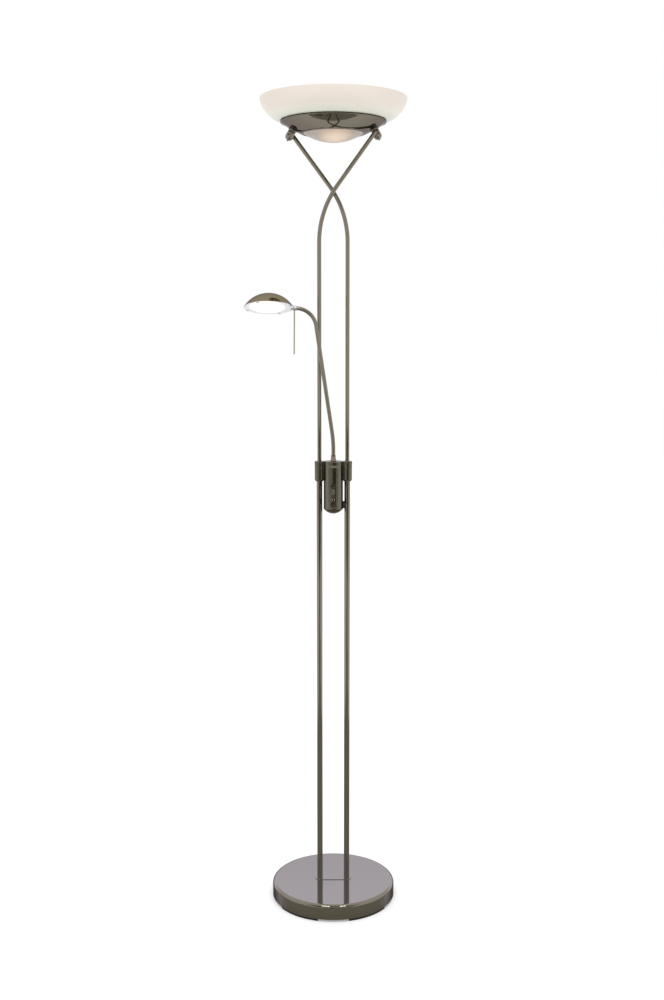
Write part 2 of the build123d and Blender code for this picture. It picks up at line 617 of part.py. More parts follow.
# ------------------------------------------------------------------ dimmers and knobs
for drop, place in ((KNOB_UPPER_DROP, "upper"), (KNOB_LOWER_DROP, "lower")):
    front = -(HOUSING_R - HOUSING_WALL)
    inside = Plane(origin=(0, front + BODY_GAP, lid_top - drop), z_dir=(0, 1, 0))
    with BuildPart() as dimmer:
        with BuildSketch(inside.offset(DIMMER_NECK_LENGTH / 2)):
            RectangleRounded(DIMMER_WIDTH, DIMMER_HEIGHT, 2)
        extrude(amount=DIMMER_DEPTH)
        with BuildSketch(inside.offset(DIMMER_NECK_LENGTH / 2)):
            Circle(DIMMER_NECK_R)
        extrude(amount=-(DIMMER_NECK_LENGTH / 2 + BODY_GAP + HOUSING_WALL + DIMMER_NUT_T))
        with BuildSketch(Plane(origin=(0, -HOUSING_R - KNOB_LENGTH, lid_top - drop), z_dir=(0, 1, 0))):
            Circle(SPINDLE_R + RUN_FIT)
        extrude(amount=KNOB_LENGTH + DIMMER_NECK_LENGTH + SPINDLE_IN_DIMMER, mode=Mode.SUBTRACT)
    finish(dimmer.part, f"dimmer_{place}")

    with BuildPart() as knob:
        back = Plane(origin=(0, -HOUSING_R - KNOB_STAND_OFF, lid_top - drop), z_dir=(0, -1, 0))
        with BuildSketch(back):
            Circle(KNOB_R)
        extrude(amount=KNOB_LENGTH, taper=KNOB_GRIP_TAPER)
        fillet(knob.faces().sort_by(Axis.Y)[0].edges(), KNOB_EDGE_R)
        with BuildSketch(back):
            Circle(SPINDLE_R)
        extrude(amount=-(KNOB_STAND_OFF + DIMMER_NECK_LENGTH + SPINDLE_IN_DIMMER - BODY_GAP - 2))
        with BuildSketch(back.offset(KNOB_LENGTH)):
            with Locations((0, KNOB_R * 0.55)):
                SlotOverall(KNOB_R * 0.7, 0.9, rotation=90)
        extrude(amount=-0.5, mode=Mode.SUBTRACT)
    finish(knob.part, f"knob_{place}")

with BuildPart() as dimmer_nuts:
    for drop in (KNOB_UPPER_DROP, KNOB_LOWER_DROP):
        with BuildSketch(Plane(origin=(0, -HOUSING_R, lid_top - drop), z_dir=(0, -1, 0))):
            RegularPolygon(DIMMER_NUT_R, 6)
            Circle(DIMMER_NECK_R + SLIP_FIT, mode=Mode.SUBTRACT)
        extrude(amount=DIMMER_NUT_T)
finish(dimmer_nuts.part, "dimmer_nuts")

# ================================================================== upper tubes
for side, label in ((-1, "upper_tube_left"), (1, "upper_tube_right")):
    # the left tube passes in front to the right knuckle, the right tube behind to the left one
    across = Vector(cos(splay), -sin(splay), 0) * -side
    upright = across.cross(Vector(0, 0, 1))
    plane = Plane(origin=(side * tube_x, 0, lower_tube_top), x_dir=across, z_dir=upright)
    with BuildPart() as upper_tube:
        with BuildLine(plane) as tube_line:
            rise = Line((0, 0), (0, lid_top + UPPER_STRAIGHT - lower_tube_top))
            turn = JernArc(rise @ 1, rise % 1, UPPER_BEND_R, -UPPER_BEND_ANGLE)
            PolarLine(turn @ 1, UPPER_TOP_RUN, direction=turn % 1)
        with BuildSketch(Plane(origin=rise @ 0)):
            Circle(UPPER_TUBE_R)
            Circle(UPPER_TUBE_R - UPPER_TUBE_WALL, mode=Mode.SUBTRACT)
        sweep(path=tube_line.wires()[0])
    finish(upper_tube.part, label)

# ================================================================== knuckles
for side, place in ((-1, "left"), (1, "right")):
    with BuildPart() as knuckle:
        with BuildSketch(stud_frame(side, SLIP_FIT)):
            Circle(KNUCKLE_WASHER_R)
        extrude(amount=KNUCKLE_WASHER_T)
        with BuildSketch(stud_frame(side, SLIP_FIT + KNUCKLE_WASHER_T)):
            Circle(KNUCKLE_GROOVE_R)
        extrude(amount=KNUCKLE_GROOVE_T)
        with BuildSketch(stud_frame(side, SLIP_FIT + KNUCKLE_WASHER_T + KNUCKLE_GROOVE_T)):
            Circle(KNUCKLE_R - SLIP_FIT)
        extrude(amount=KNUCKLE_BODY_LENGTH - KNUCKLE_WASHER_T - KNUCKLE_GROOVE_T)
        with BuildSketch(stud_frame(side)):
            Circle(STUD_R + SLIP_FIT)
        extrude(amount=KNUCKLE_BODY_LENGTH + 1, mode=Mode.SUBTRACT)
    finish(knuckle.part, f"knuckle_{place}")

with BuildPart() as knuckle_studs:
    for side in (-1, 1):
        with BuildSketch(stud_frame(side, -STUD_INSIDE)):
            Circle(STUD_R)
        extrude(amount=STUD_INSIDE + KNUCKLE_BODY_LENGTH + CAP_NUT_SKIRT)
finish(knuckle_studs.part, "knuckle_studs")

for side, place in ((-1, "left"), (1, "right")):
    seat = stud_frame(side, KNUCKLE_BODY_LENGTH + 2 * SLIP_FIT)
    section = Plane(origin=seat.origin, x_dir=seat.x_dir, z_dir=seat.x_dir.cross(seat.z_dir))
    with BuildPart() as cap_nut:
        with BuildSketch(section):
            with BuildLine():
                Line((0, 0), (CAP_NUT_R - 0.8, 0))
                Line((CAP_NUT_R - 0.8, 0), (CAP_NUT_R, 0.8))
                Line((CAP_NUT_R, 0.8), (CAP_NUT_R, CAP_NUT_SKIRT))
                top = CAP_NUT_SKIRT + sqrt(CAP_NUT_R**2 - CAP_TIP_R**2)
                RadiusArc((CAP_NUT_R, CAP_NUT_SKIRT), (CAP_TIP_R, top), -CAP_NUT_R)
                Line((CAP_TIP_R, top), (CAP_TIP_R, top + CAP_TIP_LENGTH / 2))
                tip = top + CAP_TIP_LENGTH
                tip_r = CAP_TIP_R**2 / CAP_TIP_LENGTH + CAP_TIP_LENGTH / 4
                RadiusArc((CAP_TIP_R, top + CAP_TIP_LENGTH / 2), (0, tip), -tip_r)
                Line((0, tip), (0, 0))
            make_face()
        revolve(axis=Axis(seat.origin, seat.z_dir))
        with BuildSketch(seat):
            Circle(STUD_R + SLIP_FIT)
        extrude(amount=CAP_NUT_SKIRT + SLIP_FIT, mode=Mode.SUBTRACT)
    finish(cap_nut.part, f"cap_nut_{place}")


# ================================================================== dish, lens and bowl
def dish_arc(offset=0.0):
    """Start, middle and end of the dish's sloping band, moved inwards by the offset, at its height."""
    radius = dish_arc_r - offset
    start = asin((dish_inner - dish_centre[0]) / dish_arc_r)
    end = asin((DISH_R - dish_centre[0]) / dish_arc_r)
    angles = (start, (start + end) / 2, end)
    return [
        (dish_centre[0] + radius * sin(a), dish_z + dish_centre[1] - radius * cos(a)) for a in angles
    ]


with BuildPart() as metal_dish:
    outer = dish_arc()
    inner = dish_arc(DISH_WALL)
    with BuildSketch(Plane.XZ):
        with BuildLine():
            Line((LENS_HOLE_R, dish_z), outer[0])
            ThreePointArc(*outer)
            Line(outer[2], (DISH_R, rim_z + DISH_WALL))
            Line((DISH_R, rim_z + DISH_WALL), (inner[2][0] - 2 * DISH_WALL, rim_z + DISH_WALL))
            Line((inner[2][0] - 2 * DISH_WALL, rim_z + DISH_WALL), inner[2])
            ThreePointArc(*reversed(inner))
            Line(inner[0], (LENS_HOLE_R, inner[0][1]))
            Line((LENS_HOLE_R, inner[0][1]), (LENS_HOLE_R, dish_z))
        make_face()
        with Locations((DISH_R, rim_z)):
            Circle(DISH_BEAD_R)
    revolve(axis=Axis.Z)
    for side in (-1, 1):
        with BuildSketch(stud_frame(side, -STUD_INSIDE)):
            Circle(STUD_R + SLIP_FIT)
        extrude(amount=STUD_INSIDE + 3, mode=Mode.SUBTRACT)
finish(metal_dish.part, "metal_dish")

with BuildPart() as bowl_gasket:
    foot_in = DISH_R - 2 * DISH_BEAD_R - GASKET_LIP
    with BuildSketch(Plane.XY.offset(rim_z + DISH_BEAD_R)):
        Circle(DISH_R + GASKET_PROUD)
        Circle(foot_in, mode=Mode.SUBTRACT)
    extrude(amount=GASKET_T)
finish(bowl_gasket.part, "bowl_gasket")

with BuildPart() as bottom_lens:
    lip_z = inner[0][1] + SLIP_FIT
    lens_r = LENS_HOLE_R - LOOSE_FIT / 2
    lens_bottom = dish_z - LENS_SAG
    drop = lip_z - lens_bottom
    cap_r = (lens_r**2 + drop**2) / (2 * drop)
    inner_cap_r = cap_r - LENS_WALL
    inner_lens_r = sqrt(inner_cap_r**2 - (cap_r - drop - LENS_WALL) ** 2)
    with BuildSketch(Plane.XZ):
        with BuildLine():
            RadiusArc((0, lens_bottom), (lens_r, lip_z), -cap_r)
            Line((lens_r, lip_z), (LENS_HOLE_R + LENS_FLANGE, lip_z))
            Line((LENS_HOLE_R + LENS_FLANGE, lip_z), (LENS_HOLE_R + LENS_FLANGE, lip_z + LENS_WALL))
            Line((LENS_HOLE_R + LENS_FLANGE, lip_z + LENS_WALL), (inner_lens_r, lip_z + LENS_WALL))
            RadiusArc((inner_lens_r, lip_z + LENS_WALL), (0, lens_bottom + LENS_WALL), inner_cap_r)
            Line((0, lens_bottom + LENS_WALL), (0, lens_bottom))
        make_face()
    revolve(axis=Axis.Z)
finish(bottom_lens.part, "bottom_lens")

with BuildPart() as glass_bowl:
    foot = rim_z + DISH_BEAD_R + GASKET_T
    rim_top = foot + BOWL_HEIGHT
    start, end = (DISH_R + BOWL_OVERHANG, foot), (BOWL_R, rim_top)
    chord = (end[0] - start[0], end[1] - start[1])
    length = hypot(*chord)
    normal = (chord[1] / length, -chord[0] / length)
    middle = (
        (start[0] + end[0]) / 2 + BOWL_SWELL * normal[0],
        (start[1] + end[1]) / 2 + BOWL_SWELL * normal[1],
    )
    with BuildSketch(Plane.XZ):
        with BuildLine():
            ThreePointArc(start, middle, end)
            Line(end, (end[0] - BOWL_WALL, end[1]))
            ThreePointArc(
                (end[0] - BOWL_WALL, end[1]),
                (middle[0] - BOWL_WALL * normal[0], middle[1] - BOWL_WALL * normal[1]),
                (start[0] - BOWL_WALL * 0.55, start[1] + BOWL_WALL),
            )
            Line((start[0] - BOWL_WALL * 0.55, start[1] + BOWL_WALL), (foot_in, foot + BOWL_WALL))
            Line((foot_in, foot + BOWL_WALL), (foot_in, foot))
            Line((foot_in, foot), start)
        make_face()
    revolve(axis=Axis.Z)
finish(glass_bowl.part, "glass_bowl")

with BuildPart() as bowl_clips:
    # spring clips hook over the bowl's foot and are riveted to the dish's flange
    for turn in range(BOWL_CLIPS):
        frame = Plane.XZ.rotated((0, 0, 60 + turn * 360 / BOWL_CLIPS))
        with BuildSketch(frame):
            with BuildLine():
                out = sqrt(foot_in**2 - CLIP_WIDTH**2 / 4) - SLIP_FIT
                low = rim_z + DISH_WALL + SLIP_FIT
                high = foot + BOWL_WALL + SLIP_FIT
                Polyline(
                    (out - 4.0, low),
                    (out, low),
                    (out, high),
                    (out + CLIP_HOOK, high),
                    (out + CLIP_HOOK, high + CLIP_T),
                    (out - CLIP_T, high + CLIP_T),
                    (out - CLIP_T, low + CLIP_T),
                    (out - 4.0, low + CLIP_T),
                    close=True,
                )
            make_face()
        extrude(amount=CLIP_WIDTH / 2, both=True)
finish(bowl_clips.part, "bowl_clips")

with BuildPart() as lamp_bracket:
    flat_z = dish_z + BRACKET_RISE
    slope = stud_lean
    # the sloping ends lie along the dish's inner face where the studs pass
    root = stud_frame(1, -(DISH_WALL + BRACKET_CLEAR)).origin
    root_r = hypot(root.X, root.Y)
    knee = root_r - (root.Z - flat_z) / tan(slope)
    tip = (BRACKET_REACH, root.Z + (BRACKET_REACH - root_r) * tan(slope))
    up = (-BRACKET_T * sin(slope), BRACKET_T * cos(slope))
    inner_knee = (knee - BRACKET_T * tan(slope / 2), flat_z + BRACKET_T)
    turned = Plane(
        origin=(0, 0, 0),
        x_dir=(cos(stud_turn), sin(stud_turn), 0),
        z_dir=Vector(cos(stud_turn), sin(stud_turn), 0).cross(Vector(0, 0, 1)),
    )
    with BuildSketch(turned):
        with BuildLine():
            Polyline(
                (0, flat_z),
                (knee, flat_z),
                tip,
                (tip[0] + up[0], tip[1] + up[1]),
                inner_knee,
                (0, flat_z + BRACKET_T),
                close=True,
            )
        make_face()
        mirror(about=Plane.YZ)
    extrude(amount=BRACKET_WIDTH / 2, both=True)
    for side in (-1, 1):
        with BuildSketch(stud_frame(side, -STUD_INSIDE)):
            Circle(STUD_R + SLIP_FIT)
        extrude(amount=STUD_INSIDE, mode=Mode.SUBTRACT)
finish(lamp_bracket.part, "lamp_bracket")

with BuildPart() as stud_nuts:
    for side in (-1, 1):
        nut_seat = DISH_WALL + BRACKET_CLEAR + BRACKET_T + SLIP_FIT
        with BuildSketch(stud_frame(side, -nut_seat)):
            RegularPolygon(STUD_NUT_R, 6)
            Circle(STUD_R + SLIP_FIT, mode=Mode.SUBTRACT)
        extrude(amount=-STUD_NUT_T)
finish(stud_nuts.part, "stud_nuts")

lamp_level = dish_z + BRACKET_RISE + BRACKET_T + HOLDER_HEIGHT * 0.6
with BuildPart() as lamp_holders:
    for side in (-1, 1):
        inner_face = TUBE_LAMP_LENGTH / 2 + BODY_GAP
        flat = Vector(cos(stud_turn), sin(stud_turn), 0) * side
        bottom = dish_z + BRACKET_RISE + BRACKET_T
        corner = flat * inner_face + Vector(0, 0, bottom)
        face = Plane(origin=corner, x_dir=Vector(0, 0, 1).cross(flat), z_dir=flat)
        with BuildSketch(face):
            with Locations((0, HOLDER_HEIGHT / 2)):
                RectangleRounded(HOLDER_WIDTH, HOLDER_HEIGHT, 1.5)
        extrude(amount=HOLDER_T)
        with BuildSketch(face):
            with Locations((0, lamp_level - bottom)):
                Circle(HOLDER_SOCKET)
        extrude(amount=TUBE_LAMP_CAP, mode=Mode.SUBTRACT)
finish(lamp_holders.part, "lamp_holders")

with BuildPart() as halogen_tube:
    flat = Vector(cos(stud_turn), sin(stud_turn), 0)
    start = flat * (-TUBE_LAMP_LENGTH / 2) + Vector(0, 0, lamp_level)
    axis_plane = Plane(origin=start, z_dir=flat)
    with BuildSketch(axis_plane):
        Circle(TUBE_LAMP_R)
    extrude(amount=TUBE_LAMP_LENGTH)
    fillet(halogen_tube.edges(), TUBE_LAMP_R * 0.45)
    with BuildSketch(axis_plane.offset(-TUBE_LAMP_CAP + BODY_GAP)):
        Circle(TUBE_LAMP_CAP_R)
    extrude(amount=TUBE_LAMP_LENGTH + 2 * (TUBE_LAMP_CAP - BODY_GAP))
finish(halogen_tube.part, "halogen_tube")

# ================================================================== reading arm
foot_point = arm_plane.origin
with BuildPart() as arm_ferrule:
    section = Plane(origin=foot_point, x_dir=(1, 0, 0), z_dir=(0, -1, 0))
    with BuildSketch(section):
        with BuildLine():
            Line((0, BODY_GAP), (FERRULE_FOOT_R, BODY_GAP))
            Line((FERRULE_FOOT_R, BODY_GAP), (FERRULE_FOOT_R, 2.0))
            ThreePointArc(
                (FERRULE_FOOT_R, 2.0),
                (FERRULE_TOP_R + 0.3, FERRULE_HEIGHT * 0.45),
                (FERRULE_TOP_R, FERRULE_HEIGHT),
            )
            Line((FERRULE_TOP_R, FERRULE_HEIGHT), (0, FERRULE_HEIGHT))
            Line((0, FERRULE_HEIGHT), (0, BODY_GAP))
        make_face()
    revolve(axis=Axis(foot_point, (0, 0, 1)))
    spigot_length = LID_TOP_T + FERRULE_NUT_T + 2 * BODY_GAP
    with BuildSketch(Plane(origin=foot_point + Vector(0, 0, BODY_GAP))):
        Circle(FERRULE_SPIGOT_R)
    extrude(amount=-(spigot_length + BODY_GAP))
    with BuildSketch(Plane(origin=foot_point + Vector(0, 0, FERRULE_HEIGHT))):
        Circle(ARM_R + SLIP_FIT)
    extrude(amount=-(FERRULE_HEIGHT - HOSE_SEAT), mode=Mode.SUBTRACT)
    with BuildSketch(Plane(origin=foot_point + Vector(0, 0, FERRULE_HEIGHT))):
        Circle(ARM_BORE_R)
    extrude(amount=-(FERRULE_HEIGHT + spigot_length + 1), mode=Mode.SUBTRACT)
finish(arm_ferrule.part, "arm_ferrule")

with BuildPart() as arm_nut:
    with BuildSketch(Plane(origin=foot_point - Vector(0, 0, LID_TOP_T + BODY_GAP))):
        RegularPolygon(FERRULE_NUT_R, 6)
        Circle(FERRULE_SPIGOT_R + SLIP_FIT, mode=Mode.SUBTRACT)
    extrude(amount=-FERRULE_NUT_T)
finish(arm_nut.part, "arm_nut")


def hinge_ball(at, radius):
    """A ball about one of the arm's bending points."""
    with BuildPart(mode=Mode.PRIVATE) as ball:
        with Locations(at):
            Sphere(radius)
    return ball.part


def beyond_ball(at):
    """What a hose stretch that ends in a rounded tip at the bending point has to lose."""
    with BuildPart(mode=Mode.PRIVATE) as beyond:
        with BuildSketch(Plane(origin=at, z_dir=arm_direction)):
            Circle(2 * ARM_R)
        extrude(amount=2 * HINGE_BALL_R)
        add(hinge_ball(at, HINGE_BALL_R), mode=Mode.SUBTRACT)
    return beyond.part


def hose(path):
    """A stretch of the hose, with its bore, swept along a path."""
    with BuildPart(mode=Mode.PRIVATE) as stretch:
        with BuildSketch(Plane(origin=path @ 0, z_dir=path % 0)):
            Circle(ARM_R)
            Circle(ARM_BORE_R, mode=Mode.SUBTRACT)
        sweep(path=path)
    return stretch.part


ball_gap_r = HINGE_BALL_R + BODY_GAP
with BuildPart() as arm_lower:
    with BuildLine(arm_plane) as line:
        low = Line((0, HOSE_SEAT + SLIP_FIT), (0, ARM_FIRST_RUN))
        sway = JernArc(low @ 1, low % 1, ARM_FIRST_BEND_R, -ARM_LEAN)
        PolarLine(sway @ 1, ARM_HINGE_LOW + HINGE_BALL_R, direction=sway % 1)
    add(hose(line.wires()[0]))
    add(beyond_ball(hinge_low), mode=Mode.SUBTRACT)
finish(arm_lower.part, "arm_lower")

with BuildPart() as arm_middle:
    with BuildLine() as line:
        Line(hinge_low + arm_direction * 2, hinge_high + arm_direction * HINGE_BALL_R)
    add(hose(line.wires()[0]))
    add(hinge_ball(hinge_low, ball_gap_r), mode=Mode.SUBTRACT)
    add(beyond_ball(hinge_high), mode=Mode.SUBTRACT)
finish(arm_middle.part, "arm_middle")

with BuildPart() as arm_upper:
    with BuildLine(arm_plane) as line:
        last = Line(hinge_high + arm_direction * 2, arm_run @ 1)
        JernArc(last @ 1, last % 1, ARM_TOP_BEND_R, -(90 - ARM_LEAN - ARM_END_RISE))
    add(hose(line.wires()[0]))
    add(hinge_ball(hinge_high, ball_gap_r), mode=Mode.SUBTRACT)
finish(arm_upper.part, "arm_upper")

# ================================================================== reading head
collar_start = BODY_GAP
collar_end = collar_start + HEAD_COLLAR_LENGTH
with BuildPart() as arm_tip:
    with BuildSketch(head_across(0)):
        Circle(HEAD_SPIGOT_R)
    extrude(amount=collar_end + BODY_GAP + HEAD_NUT_T)
    with BuildSketch(head_across(0)):
        Circle(ARM_BORE_R - 3 * SLIP_FIT)
    extrude(amount=-HEAD_PLUG_LENGTH)
    with BuildSketch(head_across(-HEAD_PLUG_LENGTH)):
        Circle(HEAD_WIRE_R)
    extrude(amount=HEAD_PLUG_LENGTH + collar_end + BODY_GAP + HEAD_NUT_T, mode=Mode.SUBTRACT)
finish(arm_tip.part, "arm_tip")

with BuildPart() as arm_tip_nut:
    with BuildSketch(head_across(collar_end + BODY_GAP)):
        Circle(HEAD_NUT_R)
        Circle(HEAD_SPIGOT_R + SLIP_FIT, mode=Mode.SUBTRACT)
    extrude(amount=HEAD_NUT_T)
finish(arm_tip_nut.part, "arm_tip_nut")

with BuildPart() as head_collar:
    with BuildSketch(head_across(collar_start)):
        Circle(HEAD_COLLAR_R)
    extrude(amount=HEAD_COLLAR_LENGTH)
    fillet(head_collar.edges(), 0.8)
    with BuildSketch(head_across(0)):
        Circle(HEAD_SPIGOT_R + RUN_FIT)
    extrude(amount=collar_end + 1, mode=Mode.SUBTRACT)
    with BuildSketch(head_level(ROD_REACH, -HEAD_COLLAR_R - 1)):
        Circle(ROD_R + SLIP_FIT)
    extrude(amount=2.4 + SLIP_FIT, mode=Mode.SUBTRACT)
finish(head_collar.part, "head_collar")

dome_r = (DOME_R**2 + DOME_HEIGHT**2) / (2 * DOME_HEIGHT)
dome_x = DOME_EDGE_REACH + DOME_R


def dome_inside(height):
    """Inner radius of the dome at a height above its rim."""
    return sqrt((dome_r - DOME_WALL) ** 2 - (dome_r - DOME_HEIGHT + height) ** 2)


with BuildPart() as head_dome:
    section = head_section(dome_x, DOME_RIM_RISE)
    with BuildSketch(section):
        with BuildLine():
            RadiusArc((DOME_R, 0), (0, DOME_HEIGHT), -dome_r)
            Line((0, DOME_HEIGHT), (0, DOME_HEIGHT - DOME_WALL))
            RadiusArc((0, DOME_HEIGHT - DOME_WALL), (dome_inside(0), 0), dome_r - DOME_WALL)
            Line((dome_inside(0), 0), (DOME_R, 0))
        make_face()
    revolve(axis=Axis(section.origin, head.z_dir))
    with BuildSketch(head_across(0)):
        Circle(HEAD_COLLAR_R + SLIP_FIT)
    extrude(amount=DOME_EDGE_REACH + 2 * HEAD_COLLAR_R, mode=Mode.SUBTRACT)
finish(head_dome.part, "head_dome")

diffuser_z = DOME_RIM_RISE - SLIP_FIT - DIFFUSER_T
diffuser_r = DOME_R - DIFFUSER_INSET
with BuildPart() as head_diffuser:
    section = head_section(dome_x, diffuser_z)
    flange_r = diffuser_r - DIFFUSER_FLANGE
    bulge_r = (flange_r**2 + DIFFUSER_BULGE**2) / (2 * DIFFUSER_BULGE)
    with BuildSketch(section):
        with BuildLine():
            Line((0, -DIFFUSER_BULGE), (0, DIFFUSER_T - DIFFUSER_BULGE))
            RadiusArc((0, DIFFUSER_T - DIFFUSER_BULGE), (flange_r, DIFFUSER_T), -bulge_r)
            Line((flange_r, DIFFUSER_T), (diffuser_r, DIFFUSER_T))
            Line((diffuser_r, DIFFUSER_T), (diffuser_r, 0))
            Line((diffuser_r, 0), (flange_r, 0))
            RadiusArc((flange_r, 0), (0, -DIFFUSER_BULGE), bulge_r)
        make_face()
    revolve(axis=Axis(section.origin, head.z_dir))
    with BuildSketch(head_across(0)):
        Circle(DIFFUSER_NOTCH_R)
    extrude(amount=DOME_EDGE_REACH + DIFFUSER_NOTCH_R, mode=Mode.SUBTRACT)
finish(head_diffuser.part, "head_diffuser")

with BuildPart() as diffuser_clips:
    # small spring clips on the dome's rim, each hooked under the diffuser's edge
    for turn in range(HEAD_CLIPS):
        angle = HEAD_CLIP_START + turn * 360 / HEAD_CLIPS
        out = head.x_dir.rotate(Axis((0, 0, 0), head.z_dir), angle)
        frame = Plane(origin=head_point(dome_x, 0, diffuser_z), x_dir=out, z_dir=out.cross(head.z_dir))
        with BuildSketch(frame):
            with BuildLine():
                leg = DOME_R + SLIP_FIT
                Polyline(
                    (leg - HEAD_CLIP_REACH, -SLIP_FIT),
                    (leg, -SLIP_FIT),
                    (leg, DIFFUSER_T + HEAD_CLIP_T),
                    (leg + HEAD_CLIP_T, DIFFUSER_T + HEAD_CLIP_T),
                    (leg + HEAD_CLIP_T, -SLIP_FIT - HEAD_CLIP_T),
                    (leg - HEAD_CLIP_REACH, -SLIP_FIT - HEAD_CLIP_T),
                    close=True,
                )
            make_face()
        extrude(amount=HEAD_CLIP_WIDTH / 2, both=True)
finish(diffuser_clips.part, "diffuser_clips")

bar_z = DOME_RIM_RISE + HEAD_BAR_RISE
with BuildPart() as head_bar:
    bar_half = sqrt(dome_inside(HEAD_BAR_RISE + HEAD_BAR_T) ** 2 - (HEAD_BAR_WIDTH / 2) ** 2) - 0.1
    with BuildSketch(head_level(dome_x, bar_z)):
        Rectangle(2 * bar_half, HEAD_BAR_WIDTH)
    extrude(amount=HEAD_BAR_T)
finish(head_bar.part, "head_bar")

capsule_z = bar_z + HEAD_BAR_T + CAPSULE_HOLDER_HEIGHT / 2
with BuildPart() as capsule_holder:
    holder_x = dome_x - CAPSULE_LENGTH / 2 - CAPSULE_HOLDER_LENGTH / 2
    with BuildSketch(head_level(holder_x, bar_z + HEAD_BAR_T)):
        RectangleRounded(CAPSULE_HOLDER_LENGTH, CAPSULE_HOLDER_WIDTH, 2)
    extrude(amount=CAPSULE_HOLDER_HEIGHT)
finish(capsule_holder.part, "capsule_holder")

with BuildPart() as capsule_lamp:
    with BuildSketch(head_across(dome_x - CAPSULE_LENGTH / 2, capsule_z)):
        Circle(CAPSULE_R)
    extrude(amount=CAPSULE_LENGTH)
    fillet(capsule_lamp.edges().sort_by(Axis(head.origin, head.x_dir))[-1], CAPSULE_R * 0.9)
finish(capsule_lamp.part, "capsule_lamp")

with BuildPart() as aiming_rod:
    with BuildSketch(head_level(ROD_REACH, -HEAD_COLLAR_R + 1.4)):
        Circle(ROD_R)
    extrude(amount=-ROD_LENGTH)
    fillet(aiming_rod.faces().sort_by(Axis(head.origin, head.z_dir))[0].edges(), ROD_R * 0.8)
finish(aiming_rod.part, "aiming_rod")

print("overall height", round(rim_top, 2), "lid top", round(lid_top, 2), "dish", round(dish_z, 2))
print("stud turn", round(degrees(stud_turn), 3), "lean", round(degrees(stud_lean), 3))
print("splay", round(degrees(splay), 3), "tube end", tube_end_x, tube_end_y, tube_end_z)
print("arm end", arm_end, "hinges", hinge_low, hinge_high)
print("head x", head.x_dir, "z", head.z_dir)
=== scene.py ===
"""Floor uplighter with a glass bowl, a twin-tube stem and a reading light on a bendable arm.

The CAD solids come in as a frame in metres, +Z up, with the lamp's front towards -Y. Each solid gets a
smoothed skin in its own finish, the arm's hose is modelled anew, and a plain white studio lights the
lamp. Sizes are in mm, and those of the studio in metres.
"""

import json
import logging
from dataclasses import dataclass
from math import cos, radians, sin
from typing import Any, Sequence

import bpy
from mathutils import Matrix, Vector

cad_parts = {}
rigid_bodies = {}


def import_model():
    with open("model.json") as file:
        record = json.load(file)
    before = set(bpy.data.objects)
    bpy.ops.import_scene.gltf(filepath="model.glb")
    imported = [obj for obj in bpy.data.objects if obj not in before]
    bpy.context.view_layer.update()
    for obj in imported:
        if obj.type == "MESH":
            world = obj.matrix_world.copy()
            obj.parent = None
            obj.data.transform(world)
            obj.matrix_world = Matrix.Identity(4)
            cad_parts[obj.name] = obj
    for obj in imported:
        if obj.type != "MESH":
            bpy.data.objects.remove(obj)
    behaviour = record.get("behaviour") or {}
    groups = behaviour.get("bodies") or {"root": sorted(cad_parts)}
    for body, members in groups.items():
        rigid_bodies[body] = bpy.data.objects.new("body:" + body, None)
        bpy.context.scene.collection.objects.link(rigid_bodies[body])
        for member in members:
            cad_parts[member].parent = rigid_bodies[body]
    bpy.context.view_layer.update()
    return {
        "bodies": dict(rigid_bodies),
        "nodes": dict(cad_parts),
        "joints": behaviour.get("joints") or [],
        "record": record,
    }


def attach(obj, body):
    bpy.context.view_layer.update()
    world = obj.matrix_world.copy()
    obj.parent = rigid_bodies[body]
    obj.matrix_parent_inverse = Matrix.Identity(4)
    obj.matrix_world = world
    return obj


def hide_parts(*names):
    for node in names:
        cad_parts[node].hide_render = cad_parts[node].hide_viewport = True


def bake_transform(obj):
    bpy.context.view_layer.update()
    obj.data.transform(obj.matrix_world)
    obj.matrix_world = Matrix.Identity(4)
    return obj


log = logging.getLogger("floor_lamp")

MM = 0.001
WHITE = "#FFFFFF"


# ---------------------------------------------------------------------------------- colours and nodes
def linear(code: str) -> tuple[float, float, float, float]:
    """Turn an sRGB hex colour into Blender's linear values.

    Args:
        code: The colour as #RRGGBB.

    Returns:
        Linear red, green and blue, with an alpha of 1.
    """
    parts = [int(code[i : i + 2], 16) / 255 for i in (1, 3, 5)]
    lin = [c / 12.92 if c <= 0.04045 else ((c + 0.055) / 1.055) ** 2.4 for c in parts]
    return (lin[0], lin[1], lin[2], 1.0)


def add_node(tree: bpy.types.NodeTree, kind: str, **inputs: Any) -> bpy.types.Node:
    """Add a shader node with its settings and links.

    Args:
        tree: The node tree that gets the node.
        kind: The node's type, such as ShaderNodeTexNoise.
        **inputs: Socket values, sockets to link from, or the node's own attributes. A socket's
            name is written with underscores for its spaces.

    Returns:
        The new node.
    """
    node = tree.nodes.new(kind)
    for key, value in inputs.items():
        if hasattr(node, key):
            setattr(node, key, value)
            continue
        name = key.replace("_", " ")
        socket = next(s for s in node.inputs if s.name == name and s.enabled)
        if isinstance(value, bpy.types.NodeSocket):
            tree.links.new(value, socket)
        else:
            socket.default_value = value
    return node


def ramp(
    tree: bpy.types.NodeTree, fac: bpy.types.NodeSocket, stops: Sequence[tuple[float, str]]
) -> bpy.types.NodeSocket:
    """Add a colour ramp.

    Args:
        tree: The node tree that gets the ramp.
        fac: The value that drives it.
        stops: Pairs of a position and an sRGB hex colour.

    Returns:
        The ramp's colour output.
    """
    node = add_node(tree, "ShaderNodeValToRGB", Fac=fac)
    points = node.color_ramp.elements
    while len(points) < len(stops):
        points.new(0.5)
    for point, (place, code) in zip(points, stops):
        point.position = place
        point.color = linear(code)
    return node.outputs["Color"]


